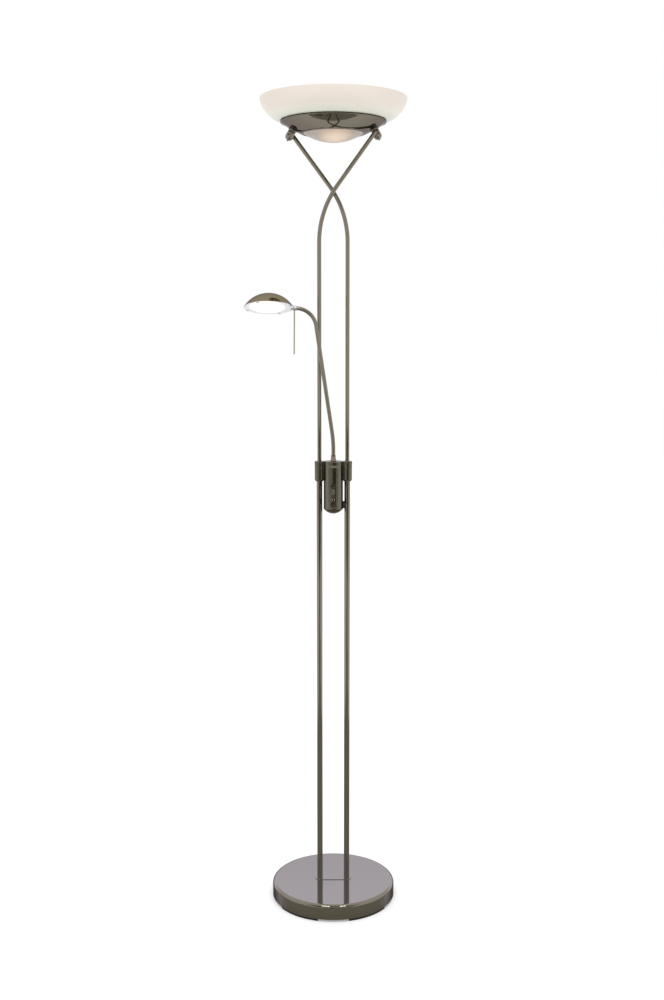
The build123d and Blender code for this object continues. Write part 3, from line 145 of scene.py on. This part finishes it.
def new_material(name: str) -> tuple[bpy.types.Material, bpy.types.NodeTree]:
    """Make a material with an empty node tree.

    Args:
        name: The material's name.

    Returns:
        The material and its node tree.
    """
    material = bpy.data.materials.new(name)
    material.use_nodes = True
    material.node_tree.nodes.clear()
    return material, material.node_tree


def finish_surface(tree: bpy.types.NodeTree, shader: bpy.types.Node) -> None:
    """Link a shader to a new output node.

    Args:
        tree: The material's node tree.
        shader: The node whose first output is the surface.
    """
    add_node(tree, "ShaderNodeOutputMaterial", Surface=shader.outputs[0])


def grain(tree: bpy.types.NodeTree, size_mm: float, detail: float = 3.0) -> bpy.types.NodeSocket:
    """Add a noise pattern on object coordinates.

    Args:
        tree: The material's node tree.
        size_mm: The size of one blotch of the pattern.
        detail: How many finer layers it has.

    Returns:
        The noise's value output.
    """
    coords = add_node(tree, "ShaderNodeTexCoord")
    noise = add_node(
        tree,
        "ShaderNodeTexNoise",
        Vector=coords.outputs["Object"],
        Scale=1.0 / (size_mm * MM),
        Detail=detail,
    )
    return noise.outputs["Fac"]


# ---------------------------------------------------------------------------------- finishes
@dataclass(frozen=True)
class DarkChrome:
    """Decorative dark chromium over polished steel: an olive-grey mirror with a painted pale sheen at a
    glance.
    """

    name: str
    tint: str = "#7F796B"
    # painted sheen and shade by viewing angle, as facing values and sRGB colours
    painted_sheen_by_angle: tuple[tuple[float, str], ...] = (
        (0.4, "#878075"),
        (0.5, "#9A948F"),
        (0.56, "#B1ACB0"),
        (0.64, "#B1ACB0"),
        (0.76, "#908C88"),
        (0.88, "#69655B"),
    )
    rim: str = "#A9A5A8"
    roughness: float = 0.055
    haze_mm: float = 40.0
    wave_mm: float = 30.0
    wave_depth_mm: float = 0.1

    def build(self) -> bpy.types.Material:
        """Make the material.

        Returns:
            The finished material.
        """
        material, tree = new_material(self.name)
        # handling leaves a faint haze, so that some patches mirror less sharply
        tone = add_node(
            tree,
            "ShaderNodeMapRange",
            Value=grain(tree, self.haze_mm),
            To_Min=self.roughness * 0.8,
            To_Max=self.roughness * 1.3,
        )
        # buffing leaves long shallow waves, which bend the reflections a little
        wave = add_node(
            tree,
            "ShaderNodeBump",
            Height=grain(tree, self.wave_mm, detail=1.0),
            Strength=0.05,
            Distance=self.wave_depth_mm * MM,
        )
        # painted sheen and shade by viewing angle: olive face-on, a painted pale lilac-grey sheen further
        # round where the base's top is seen, and in the stand's own ramp painted darker again towards the
        # grazing edges
        turn = add_node(tree, "ShaderNodeLayerWeight", Blend=0.5)
        colour = ramp(tree, turn.outputs["Facing"], [(0.0, self.tint), *self.painted_sheen_by_angle])
        shader = add_node(
            tree,
            "ShaderNodeBsdfPrincipled",
            Base_Color=colour,
            Metallic=1.0,
            Specular_Tint=linear(self.rim),
            Roughness=tone.outputs["Result"],
            Normal=wave.outputs["Normal"],
        )
        finish_surface(tree, shader)
        return material


@dataclass(frozen=True)
class PaleMetal:
    """Zinc-plated steel, spring steel or satin aluminium: a light grey with a soft, wide shine."""

    name: str
    tint: str = "#B9BABB"
    light: str = "#D3D4D6"
    roughness: float = 0.3
    spangle_mm: float = 1.0

    def build(self) -> bpy.types.Material:
        """Make the material.

        Returns:
            The finished material.
        """
        material, tree = new_material(self.name)
        # the metal's fine crystals, drawn as coarse as they need to be to show
        spangle = grain(tree, self.spangle_mm)
        colour = ramp(tree, spangle, [(0.35, self.tint), (0.7, self.light)])
        tone = add_node(
            tree,
            "ShaderNodeMapRange",
            Value=spangle,
            To_Min=self.roughness * 0.8,
            To_Max=self.roughness * 1.2,
        )
        shader = add_node(
            tree,
            "ShaderNodeBsdfPrincipled",
            Base_Color=colour,
            Metallic=1.0,
            Roughness=tone.outputs["Result"],
        )
        finish_surface(tree, shader)
        return material


@dataclass(frozen=True)
class MattMoulding:
    """Moulded rubber or plastic, unglazed ceramic, or a rough casting."""

    name: str
    tint: str
    light: str
    roughness: float = 0.6
    grain_mm: float = 0.8
    depth_mm: float = 0.05

    def build(self) -> bpy.types.Material:
        """Make the material.

        Returns:
            The finished material.
        """
        material, tree = new_material(self.name)
        # the grain breaks up the highlight, so that the surface looks dull
        texture = grain(tree, self.grain_mm)
        colour = ramp(tree, texture, [(0.35, self.tint), (0.75, self.light)])
        bump = add_node(tree, "ShaderNodeBump", Height=texture, Strength=0.3, Distance=self.depth_mm * MM)
        shader = add_node(
            tree,
            "ShaderNodeBsdfPrincipled",
            Base_Color=colour,
            Roughness=self.roughness,
            Normal=bump.outputs["Normal"],
        )
        finish_surface(tree, shader)
        return material


@dataclass(frozen=True)
class OpalGlass:
    """Etched opal glass: a milky cream with a soft highlight, greyer towards its foot."""

    name: str
    # the heights that the colours span
    low_z: float
    high_z: float
    stops: tuple[tuple[float, str], ...]
    glow: float
    cloud_mm: float = 60.0
    cloud_share: float = 0.04

    def build(self) -> bpy.types.Material:
        """Make the material.

        Returns:
            The finished material.
        """
        material, tree = new_material(self.name)
        # less light reaches the foot of a lit bowl, and its body is never quite even
        coords = add_node(tree, "ShaderNodeTexCoord")
        height = add_node(tree, "ShaderNodeSeparateXYZ", Vector=coords.outputs["Object"])
        band = add_node(
            tree,
            "ShaderNodeMapRange",
            Value=height.outputs["Z"],
            From_Min=self.low_z * MM,
            From_Max=self.high_z * MM,
        )
        cloud = add_node(
            tree,
            "ShaderNodeMapRange",
            Value=grain(tree, self.cloud_mm),
            To_Min=-self.cloud_share,
            To_Max=self.cloud_share,
        )
        place = add_node(tree, "ShaderNodeMath", operation="ADD")
        tree.links.new(band.outputs["Result"], place.inputs[0])
        tree.links.new(cloud.outputs["Result"], place.inputs[1])
        colour = ramp(tree, place.outputs["Value"], self.stops)
        shader = add_node(
            tree,
            "ShaderNodeBsdfPrincipled",
            Base_Color=colour,
            Roughness=0.32,
            IOR=1.5,
            Emission_Color=colour,
            Emission_Strength=self.glow,
        )
        finish_surface(tree, shader)
        return material


@dataclass(frozen=True)
class FrostedGlow:
    """Frosted glass with a lamp behind it: bright in the middle, warmer towards its edge."""

    name: str
    # the brightest spot, and how far its light reaches
    centre: tuple[float, float, float]
    reach_mm: float
    stops: tuple[tuple[float, str], ...]
    glow: float
    body: str
    etch_mm: float = 0.6
    etch_depth_mm: float = 0.05

    def build(self) -> bpy.types.Material:
        """Make the material.

        Returns:
            The finished material.
        """
        material, tree = new_material(self.name)
        # the light falls off with the distance from the brightest spot
        coords = add_node(tree, "ShaderNodeTexCoord")
        offset = add_node(tree, "ShaderNodeVectorMath", operation="DISTANCE")
        tree.links.new(coords.outputs["Object"], offset.inputs[0])
        offset.inputs[1].default_value = [c * MM for c in self.centre]
        spread = add_node(
            tree, "ShaderNodeMapRange", Value=offset.outputs["Value"], From_Max=self.reach_mm * MM
        )
        colour = ramp(tree, spread.outputs["Result"], self.stops)
        # the etching takes the gloss off, and is drawn coarser than it is
        etch = add_node(
            tree,
            "ShaderNodeBump",
            Height=grain(tree, self.etch_mm),
            Strength=0.05,
            Distance=self.etch_depth_mm * MM,
        )
        shader = add_node(
            tree,
            "ShaderNodeBsdfPrincipled",
            Base_Color=linear(self.body),
            Roughness=0.35,
            IOR=1.5,
            Emission_Color=colour,
            Emission_Strength=self.glow,
            Normal=etch.outputs["Normal"],
        )
        finish_surface(tree, shader)
        return material


@dataclass(frozen=True)
class QuartzLamp:
    """Clear quartz envelope of a halogen lamp, lit from inside."""

    name: str
    glow: float = 1.5
    smoke_mm: float = 6.0

    def build(self) -> bpy.types.Material:
        """Make the material.

        Returns:
            The finished material.
        """
        material, tree = new_material(self.name)
        # the filament's light comes through warm and a little cloudy
        smoke = ramp(tree, grain(tree, self.smoke_mm), [(0.3, "#FFF4E0"), (0.7, "#FFE9C8")])
        shader = add_node(
            tree,
            "ShaderNodeBsdfPrincipled",
            Base_Color=smoke,
            Roughness=0.05,
            IOR=1.46,
            Emission_Color=smoke,
            Emission_Strength=self.glow,
        )
        finish_surface(tree, shader)
        return material


# ---------------------------------------------------------------------------------- bench tools
class Bench:
    """The modelling steps that every sub-assembly shares."""

    @staticmethod
    def clear_selection() -> None:
        """Leave nothing selected, in object mode."""
        if bpy.context.object and bpy.context.object.mode != "OBJECT":
            bpy.ops.object.mode_set(mode="OBJECT")
        bpy.ops.object.select_all(action="DESELECT")

    @staticmethod
    def take(obj: bpy.types.Object) -> None:
        """Select one object and make it the active one.

        Args:
            obj: The object.
        """
        Bench.clear_selection()
        obj.select_set(True)
        bpy.context.view_layer.objects.active = obj

    @staticmethod
    def smooth(obj: bpy.types.Object, angle: float = 32.0) -> None:
        """Shade a piece smooth, with creases sharper than the angle kept.

        Args:
            obj: The piece.
            angle: The crease angle in degrees.
        """
        Bench.take(obj)
        bpy.ops.object.shade_smooth_by_angle(angle=radians(angle))

    @staticmethod
    def apply_all(obj: bpy.types.Object) -> None:
        """Apply every modifier of a piece, in order.

        Args:
            obj: The piece.
        """
        Bench.take(obj)
        for modifier in list(obj.modifiers):
            bpy.ops.object.modifier_apply(modifier=modifier.name)

    @staticmethod
    def settle(obj: bpy.types.Object, place: Matrix) -> None:
        """Move a finished piece to its place and leave its object at the origin.

        Args:
            obj: The piece.
            place: Where it goes, in the lamp's frame.
        """
        obj.matrix_world = place
        Bench.take(obj)
        bpy.ops.object.transform_apply(location=True, rotation=True, scale=True)


# ---------------------------------------------------------------------------------- sub-assemblies
@dataclass
class Skins:
    """Smoothed skins of the CAD solids, each in the finish that its slot names."""

    frame: dict
    finishes: dict[str, bpy.types.Material]
    # points that stand closer are one, and shorter edges go
    merge_gap: float = 0.001
    sliver: float = 0.0001
    # edges that turn by more degrees can be rounded, in as many steps
    rounded_from: float = 40.0
    rounding_steps: int = 2

    def slot_of(self, node: str) -> str:
        """The record's material slot of a node."""
        rows = self.frame["record"]["subparts"]
        return next(row["material_slot"] for row in rows if row["node"] == node)

    def body_of(self, node: str) -> str:
        """The CAD body that holds a node."""
        bodies = self.frame["record"]["behaviour"]["bodies"]
        return next(body for body, nodes in bodies.items() if node in nodes)

    def skin(self, node: str, edge: float = 0.0) -> bpy.types.Object:
        """Copy a solid, merge its loose faces, round its edges and dress it.

        Args:
            node: The CAD node that the skin stands for.
            edge: The width of its rounded edges in mm, or 0 to keep them as modelled.

        Returns:
            The new piece, riding on the node's body.
        """
        name = f"{node}_skin"
        piece = bpy.data.objects.new(name, self.frame["nodes"][node].data.copy())
        piece.data.name = name
        bpy.context.scene.collection.objects.link(piece)
        self.merge(piece)
        Bench.smooth(piece)
        if edge:
            self.round_edges(piece, edge)
            Bench.smooth(piece)
        # flats stay flat beside their rounded edges
        weighted = piece.modifiers.new("flats", "WEIGHTED_NORMAL")
        weighted.keep_sharp = True
        weighted.mode = "FACE_AREA_WITH_ANGLE"
        Bench.apply_all(piece)
        self.paint_solid(node)
        self.dress(piece, self.slot_of(node))
        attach(piece, self.body_of(node))
        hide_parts(node)
        return piece

    def merge(self, piece: bpy.types.Object) -> None:
        """Join the loose triangles of a copied solid.

        Args:
            piece: The copy.
        """
        Bench.take(piece)
        bpy.ops.object.mode_set(mode="EDIT")
        bpy.ops.mesh.select_all(action="SELECT")
        bpy.ops.mesh.remove_doubles(threshold=self.merge_gap * MM)
        bpy.ops.mesh.dissolve_degenerate(threshold=self.sliver * MM)
        bpy.ops.object.mode_set(mode="OBJECT")

    def round_edges(self, piece: bpy.types.Object, edge: float) -> None:
        """Round the sharp edges of a piece.

        Args:
            piece: The piece.
            edge: The rounding's width in mm.
        """
        bevel = piece.modifiers.new("edge", "BEVEL")
        bevel.width = edge * MM
        bevel.segments = self.rounding_steps
        bevel.limit_method = "ANGLE"
        bevel.angle_limit = radians(self.rounded_from)
        Bench.apply_all(piece)

    def paint_solid(self, node: str) -> None:
        """Give a CAD node the finish of its slot.

        Args:
            node: The CAD node.
        """
        materials = self.frame["nodes"][node].data.materials
        materials.clear()
        materials.append(self.finishes[self.slot_of(node)])

    def dress(self, piece: bpy.types.Object, slot: str) -> None:
        """Give a piece its finish.

        Args:
            piece: The piece.
            slot: The record's material slot.
        """
        piece.data.materials.clear()
        piece.data.materials.append(self.finishes[slot])


@dataclass
class SubAssembly:
    """Solids that go together on the bench as one unit."""

    skins: Skins
    nodes: tuple[str, ...] = ()

    def edges(self) -> dict[str, float]:
        """The widths in mm of the edges to round, by node."""
        return {}

    def build(self) -> list[bpy.types.Object]:
        """Skin the unit's solids.

        Returns:
            The new pieces.
        """
        edges = self.edges()
        return [self.skins.skin(node, edges.get(node, 0.0)) for node in self.nodes]


@dataclass
class Base(SubAssembly):
    """The weighted base, with the fixings that hold the stem's tubes."""

    nodes: tuple[str, ...] = (
        "base_shell",
        "base_weight",
        "bottom_plate",
        "cord_inlet",
        "fixing_nuts",
        "fixing_washers",
        "foot_plate",
        "foot_ring",
        "tube_nipples",
    )


@dataclass
class Stem(SubAssembly):
    """The two lower tubes and the two bent ones above them, which cross."""

    nodes: tuple[str, ...] = (
        "lower_tube_left",
        "lower_tube_right",
        "reducer_bushes",
        "upper_tube_left",
        "upper_tube_right",
    )


@dataclass
class DimmerHousing(SubAssembly):
    """The housing of the two dimmers, clamped to both tubes."""

    nodes: tuple[str, ...] = (
        "cable_sleeve",
        "clamp_lid",
        "collar_left",
        "collar_right",
        "collar_screws",
        "dimmer_housing",
        "dimmer_lower",
        "dimmer_nuts",
        "dimmer_upper",
        "grub_screws",
        "knob_lower",
        "knob_upper",
    )
    # the nodes that wear the softer chrome, tinted darker as painted shade
    shell: tuple[str, ...] = ("clamp_lid", "collar_left", "collar_right", "dimmer_housing")
    lid_edge: float = 0.6
    collar_edge: float = 0.5

    def edges(self) -> dict[str, float]:
        """The widths in mm of the edges to round, by node."""
        return {
            "clamp_lid": self.lid_edge,
            "collar_left": self.collar_edge,
            "collar_right": self.collar_edge,
        }

    def build(self) -> list[bpy.types.Object]:
        """Skin the housing's solids, its shell in a softer chrome than the stem's, tinted darker as
        painted shade.

        Returns:
            The new pieces.
        """
        pieces = super().build()
        # a copy of the stand's chrome, rougher, and tinted darker as painted shade
        chrome = DarkChrome(
            "shaded_dark_chrome_housing",
            tint="#6A665A",
            painted_sheen_by_angle=((0.5, "#706B60"), (0.8, "#7A756C"), (1.0, "#8A857D")),
            roughness=0.12,
        ).build()
        for node, piece in zip(self.nodes, pieces):
            if node in self.shell:
                piece.data.materials[0] = chrome
        return pieces


@dataclass
class Uplighter(SubAssembly):
    """The glass bowl on its metal dish, with the knuckles that carry it and the lamp inside."""

    nodes: tuple[str, ...] = (
        "bottom_lens",
        "bowl_clips",
        "bowl_gasket",
        "cap_nut_left",
        "cap_nut_right",
        "glass_bowl",
        "halogen_tube",
        "knuckle_left",
        "knuckle_right",
        "knuckle_studs",
        "lamp_bracket",
        "lamp_holders",
        "metal_dish",
        "stud_nuts",
    )


@dataclass
class ReadingLight(SubAssembly):
    """The reading light's swivel on the lid and its head at the hose's end."""

    nodes: tuple[str, ...] = (
        "aiming_rod",
        "arm_ferrule",
        "arm_nut",
        "arm_tip",
        "arm_tip_nut",
        "capsule_holder",
        "capsule_lamp",
        "diffuser_clips",
        "head_bar",
        "head_collar",
        "head_diffuser",
        "head_dome",
    )
    swivel_edge: float = 0.3

    def edges(self) -> dict[str, float]:
        """The widths in mm of the edges to round, by node."""
        return {"arm_ferrule": self.swivel_edge, "arm_nut": self.swivel_edge}


@dataclass
class ArmHose:
    """The reading arm's hose: two smooth stretches that meet in the middle of the long straight."""

    skins: Skins
    solids: tuple[str, str, str] = ("arm_lower", "arm_middle", "arm_upper")
    # where the ferrule stands, and the turn of the arm's plane from the lamp's left towards its front
    foot: tuple[float, float, float] = (0.0, -9.0, 1019.3)
    plane_angle: float = 8.0
    # the centreline, from the foot to the head: lengths and radii, and angles from upright
    start: float = 3.05
    first_run: float = 24.0
    first_bend: float = 300.0
    lean: float = 8.6
    straight: float = 232.0
    top_bend: float = 45.0
    end_rise: float = 2.0
    # the joints, from the lower and the upper end of the long straight, and a reach on either side of
    # each
    low_joint: float = 30.0
    high_joint: float = 14.0
    blend_reach: float = 22.0
    # the hose itself
    radius: float = 4.3
    sides: int = 40
    crease: float = 60.0
    foot_steps: int = 10
    lean_steps: int = 24
    straight_steps: int = 140
    curl_steps: int = 60

    def outwards(self) -> Vector:
        """The level direction in which the arm leans."""
        angle = radians(self.plane_angle)
        return Vector((-cos(angle), -sin(angle), 0))

    def path(self) -> list[tuple[float, float, float]]:
        """Work out the centreline in the arm's own plane.

        Returns:
            Points as (x, z, lean in radians), in mm from the foot.
        """
        points = [(0.0, self.start, 0.0)]

        def walk(length: float, turn: float, steps: int) -> None:
            """Go on along a straight or an arc.

            Args:
                length: The length to go, in mm.
                turn: The turn on the way, in radians.
                steps: The number of equal steps.
            """
            for _ in range(steps):
                x, z, lean = points[-1]
                step, bend = length / steps, turn / steps
                middle = lean + bend / 2
                chord = step if abs(bend) < 1e-9 else 2 * step / bend * sin(bend / 2)
                points.append((x + chord * sin(middle), z + chord * cos(middle), lean + bend))

        lean = radians(self.lean)
        curl = radians(90 - self.end_rise) - lean
        walk(self.first_run - self.start, 0.0, self.foot_steps)
        walk(self.first_bend * lean, lean, self.lean_steps)
        walk(self.straight, 0.0, self.straight_steps)
        walk(self.top_bend * curl, curl, self.curl_steps)
        return points

    def stretch(self, name: str, rings: Sequence[tuple]) -> bpy.types.Object:
        """Model a stretch of hose ring by ring, by extrude, move and turn.

        Args:
            name: The piece's name.
            rings: Points of the centreline.

        Returns:
            The tube, in place and with its ends closed.
        """
        x, z, lean = rings[0]
        Bench.clear_selection()
        bpy.ops.mesh.primitive_circle_add(
            vertices=self.sides,
            radius=self.radius * MM,
            fill_type="NGON",
            location=(x * MM, 0, z * MM),
            rotation=(0, lean, 0),
        )
        piece = bpy.context.object
        piece.name = piece.data.name = name
        bpy.ops.object.transform_apply(location=True, rotation=True, scale=True)
        bpy.ops.object.mode_set(mode="EDIT")
        bpy.ops.mesh.select_all(action="SELECT")
        for x2, z2, lean2 in rings[1:]:
            step = ((x2 - x) * MM, 0, (z2 - z) * MM)
            bpy.ops.mesh.extrude_region_move(TRANSFORM_OT_translate={"value": step})
            if abs(lean2 - lean) > 1e-9:
                bpy.ops.transform.rotate(
                    value=-(lean2 - lean),
                    orient_axis="Y",
                    orient_type="GLOBAL",
                    center_override=(x2 * MM, 0, z2 * MM),
                )
            x, z, lean = x2, z2, lean2
        bpy.ops.mesh.select_all(action="SELECT")
        bpy.ops.mesh.normals_make_consistent(inside=False)
        bpy.ops.object.mode_set(mode="OBJECT")
        out, up = self.outwards(), Vector((0, 0, 1))
        turn = Matrix((out, up.cross(out), up)).transposed().to_4x4()
        Bench.settle(piece, Matrix.Translation(Vector(self.foot) * MM) @ turn)
        Bench.smooth(piece, self.crease)
        return piece

    def point_at(self, run: float) -> Vector:
        """Find a point of the long straight.

        Args:
            run: The length along the straight, in mm.

        Returns:
            The centreline's point there, in metres in the lamp's frame.
        """
        x, z, lean = self.path()[self.foot_steps + self.lean_steps]
        x, z = x + run * sin(lean), z + run * cos(lean)
        return (Vector(self.foot) + Vector((0, 0, z)) + self.outwards() * x) * MM

    def build(self) -> list[bpy.types.Object]:
        """Model both stretches and dress them.

        Returns:
            The lower and the upper stretch.
        """
        points = self.path()
        middle = self.foot_steps + self.lean_steps + self.straight_steps // 2
        lower = self.stretch("arm_hose_lower", points[: middle + 1])
        upper = self.stretch("arm_hose_upper", points[middle:])
        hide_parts(*self.solids[:2])
        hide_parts(self.solids[2])
        reach = self.blend_reach
        for piece, below, above, joint in (
            (lower, "arm_foot", "arm_mid", self.low_joint),
            (upper, "arm_mid", "arm_top", self.straight - self.high_joint),
        ):
            self.point_at(joint - reach)
            self.point_at(joint + reach)
            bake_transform(piece)
            self.skins.dress(piece, "arm_sheath")
        for node in self.solids:
            self.skins.paint_solid(node)
        return [lower, upper]


@dataclass
class Studio:
    """White surroundings, two soft lights, grey cards and the camera of the photograph."""

    # in metres
    floor_size: float = 40.0
    floor_drop: float = 0.0005
    mat_drop: float = 0.0003
    aim_height: float = 0.9
    card_distance: float = 3.6
    card_height: float = 0.8
    # strengths, of which 1 is white
    world_light: float = 0.8
    floor_lift: float = 0.29
    # the camera's place and lens in mm, and its tilt from straight down in degrees
    camera_at: tuple[float, float, float] = (-3.0, -2690.65, 1303.4)
    pitch: float = 82.135
    lens: float = 43.63
    sensor: float = 36.0

    def backdrop(self) -> None:
        """Make the world white, and as bright as the lighting needs where it isn't seen or mirrored."""
        world = bpy.data.worlds.new("white_studio")
        bpy.context.scene.world = world
        world.use_nodes = True
        tree = world.node_tree
        tree.nodes.clear()
        path = add_node(tree, "ShaderNodeLightPath")
        seen = path.outputs["Is Camera Ray"]
        for ray in ("Is Glossy Ray", "Is Transmission Ray"):
            either = add_node(tree, "ShaderNodeMath", operation="MAXIMUM")
            tree.links.new(seen, either.inputs[0])
            tree.links.new(path.outputs[ray], either.inputs[1])
            seen = either.outputs["Value"]
        dim = add_node(tree, "ShaderNodeBackground", Color=linear(WHITE), Strength=self.world_light)
        bright = add_node(tree, "ShaderNodeBackground", Color=linear(WHITE), Strength=1.0)
        mix = add_node(tree, "ShaderNodeMixShader", Fac=seen)
        tree.links.new(dim.outputs[0], mix.inputs[1])
        tree.links.new(bright.outputs[0], mix.inputs[2])
        add_node(tree, "ShaderNodeOutputWorld", Surface=mix.outputs[0])

    def floor(self) -> None:
        """Lay a pale floor that keeps a soft shadow and is white elsewhere."""
        Bench.clear_selection()
        bpy.ops.mesh.primitive_plane_add(size=self.floor_size, location=(0, 0, -self.floor_drop))
        floor = bpy.context.object
        floor.name = "studio_floor"
        material, tree = new_material("pale_floor")
        matt = add_node(tree, "ShaderNodeBsdfDiffuse", Color=linear("#F4F4F4"))
        lift = add_node(tree, "ShaderNodeEmission", Color=linear(WHITE), Strength=self.floor_lift)
        shader = add_node(tree, "ShaderNodeAddShader")
        tree.links.new(matt.outputs[0], shader.inputs[0])
        tree.links.new(lift.outputs[0], shader.inputs[1])
        finish_surface(tree, shader)
        floor.data.materials.append(material)

    def lamps(self) -> None:
        """Hang the soft lights over the front, one on either side."""
        aim = Vector((0, 0, self.aim_height))
        for name, place, size, power in (
            ("light_left", (-0.75, -2.0, 3.9), (0.8, 0.48), 22.0),
            ("light_right", (0.95, -2.0, 3.9), (0.7, 0.42), 18.0),
        ):
            light = bpy.data.lights.new(name, "AREA")
            light.shape = "RECTANGLE"
            light.size, light.size_y = size
            light.energy = power
            lamp = bpy.data.objects.new(name, light)
            lamp.location = place
            lamp.rotation_euler = (aim - Vector(place)).to_track_quat("-Z", "Y").to_euler()
            bpy.context.scene.collection.objects.link(lamp)

    @staticmethod
    def card(name: str, grey: str, centre: Sequence[float], size: Sequence[float], tilt: float) -> None:
        """Stage a grey card that only polished surfaces mirror.

        Args:
            name: The card's name.
            grey: Its sRGB hex colour.
            centre: Its middle, in metres.
            size: Its width and height, in metres.
            tilt: Its turn about X in degrees, 90 for an upright card.
        """
        material, tree = new_material(name)
        finish_surface(tree, add_node(tree, "ShaderNodeBsdfDiffuse", Color=linear(grey)))
        Bench.clear_selection()
        bpy.ops.mesh.primitive_plane_add(size=1.0, location=centre, rotation=(radians(tilt), 0, 0))
        card = bpy.context.object
        card.name = name
        card.scale = (*size, 1.0)
        card.data.materials.append(material)
        card.visible_camera = False
        card.visible_diffuse = False
        card.visible_shadow = False

    def cards(self) -> None:
        """Darken the room in front: upright cards, a mat on the floor and a card above."""
        for name, left, right, grey in (
            ("card_left", -7.0, -1.8, "#D8D4CE"),
            ("card_middle", -1.8, -0.35, "#BCB9B1"),
            ("card_dark", -0.35, 2.5, "#5C5953"),
            ("card_right", 2.5, 7.0, "#CFCCC1"),
        ):
            centre = ((left + right) / 2, -self.card_distance, self.card_height / 2)
            self.card(name, grey, centre, (right - left, self.card_height), tilt=90)
        self.card("floor_mat", "#B2B0A9", (0, -1.5, -self.mat_drop), (2.6, 4.2), tilt=0)
        self.card("roof_card", "#5A564F", (0, -5.0, 4.6), (9.0, 5.0), tilt=0)

    def camera(self) -> None:
        """Set the camera where the photograph was taken from."""
        data = bpy.data.cameras.new("photo_camera")
        data.lens = self.lens
        data.sensor_width = self.sensor
        data.sensor_fit = "AUTO"
        camera = bpy.data.objects.new("photo_camera", data)
        camera.location = Vector(self.camera_at) * MM
        camera.rotation_euler = (radians(self.pitch), 0, 0)
        bpy.context.scene.collection.objects.link(camera)
        bpy.context.scene.camera = camera

    def build(self) -> None:
        """Set up the whole studio."""
        self.backdrop()
        self.floor()
        self.lamps()
        self.cards()
        self.camera()


# ---------------------------------------------------------------------------------- finishes by slot
def make_finishes() -> dict[str, bpy.types.Material]:
    """Make the finish of every slot.

    Returns:
        The materials by the record's slot names.
    """
    table = {
        "foot_rubber": MattMoulding("black_rubber_foot", "#141414", "#1E1E1E"),
        "plate_steel": MattMoulding("coated_steel_plate", "#1C1C1C", "#262626", roughness=0.45),
        "cast_weight": MattMoulding("cast_iron_weight", "#2A2927", "#3A3835", grain_mm=3.0, depth_mm=0.4),
        "black_chrome": DarkChrome("dark_chrome_stand"),
        "knob_chrome": DarkChrome(
            "dark_chrome_knobs",
            tint="#423E36",
            painted_sheen_by_angle=((0.5, "#4C483F"), (0.8, "#6B665E")),
            roughness=0.22,
        ),
        # the knuckles' chrome: a copy of the stand's, tinted lighter as a painted highlight
        "knuckle_chrome": DarkChrome("lit_dark_chrome_knuckles", tint="#857E76", roughness=0.1),
        # the dish's chrome: a copy of the stand's, tinted darker as painted shade
        "dish_chrome": DarkChrome(
            "shaded_dark_chrome_dish",
            tint="#746E61",
            painted_sheen_by_angle=((0.55, "#7C766B"), (0.8, "#979189"), (1.0, "#A5A2A3")),
        ),
        "head_chrome": DarkChrome(
            "dark_chrome_head",
            tint="#7F755F",
            painted_sheen_by_angle=((0.5, "#8C826B"), (0.8, "#A0967F"), (1.0, "#B5AFA0")),
        ),
        "arm_sheath": DarkChrome("dark_chrome_hose", tint="#857E70", roughness=0.2),
        "ferrule_chrome": DarkChrome("dark_chrome_ferrule"),
        "inlet_plastic": MattMoulding("black_inlet_plastic", "#161616", "#202020"),
        "sleeve_rubber": MattMoulding("black_sleeve_rubber", "#161512", "#22201C"),
        "zinc_steel": PaleMetal("zinc_plated_steel"),
        "clip_spring": PaleMetal("bright_spring_steel", tint="#A89F93", roughness=0.18),
        "dimmer_plastic": MattMoulding("black_dimmer_plastic", "#181818", "#242424"),
        "gasket_rubber": MattMoulding("black_gasket_rubber", "#26261F", "#33332B"),
        "lens_glass": FrostedGlow(
            "frosted_lens_glass",
            centre=(4, -36, 1711),
            reach_mm=66.0,
            stops=((0.0, "#FFE6C8"), (0.3, "#E3BF9A"), (0.6, "#5A483A"), (0.9, "#000000")),
            glow=0.4,
            body="#A69B8F",
        ),
        "opal_glass": OpalGlass(
            "satin_opal_glass",
            low_z=1753.0,
            high_z=1800.0,
            stops=((0.0, "#C2C6B8"), (0.22, "#D9D4C9"), (0.45, "#DDD4CA"), (1.0, "#DDD2C7")),
            glow=0.07,
        ),
        "holder_ceramic": MattMoulding("ceramic_holder", "#E4E0D8", "#EEEAE2", roughness=0.4),
        "lamp_glass": QuartzLamp("quartz_lamp_glass"),
        "head_collar_grey": PaleMetal("satin_aluminium_collar", tint="#C4C4C6", roughness=0.35),
        "diffuser_glass": FrostedGlow(
            "frosted_reading_glass",
            centre=(-143, -48, 1352),
            reach_mm=56.0,
            stops=(
                (0.0, "#FFFFFF"),
                (0.5, "#FFF9EC"),
                (0.62, "#FFE2BC"),
                (0.72, "#4A3A2A"),
                (0.85, "#000000"),
            ),
            glow=0.8,
            body="#D6D5D7",
        ),
        "rod_grey": MattMoulding("warm_grey_rod", "#8F857B", "#A0968C", roughness=0.35),
    }
    return {slot: finish.build() for slot, finish in table.items()}


def main() -> None:
    """Build the lamp and its studio."""
    logging.basicConfig(level=logging.INFO, format="%(message)s")
    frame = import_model()
    bpy.context.scene.view_settings.view_transform = "Standard"
    skins = Skins(frame, make_finishes())
    units = [Base(skins), Stem(skins), DimmerHousing(skins), Uplighter(skins), ReadingLight(skins)]
    hose = ArmHose(skins)
    dressed = {node for unit in units for node in unit.nodes} | set(hose.solids)
    if dressed != set(frame["nodes"]):
        raise ValueError(f"nodes that only one side has: {sorted(dressed ^ set(frame['nodes']))}")
    for unit in (*units, hose):
        for piece in unit.build():
            log.info("%s: piece %s", type(unit).__name__, piece.name)
    Studio().build()


if __name__ == "__main__":
    main()
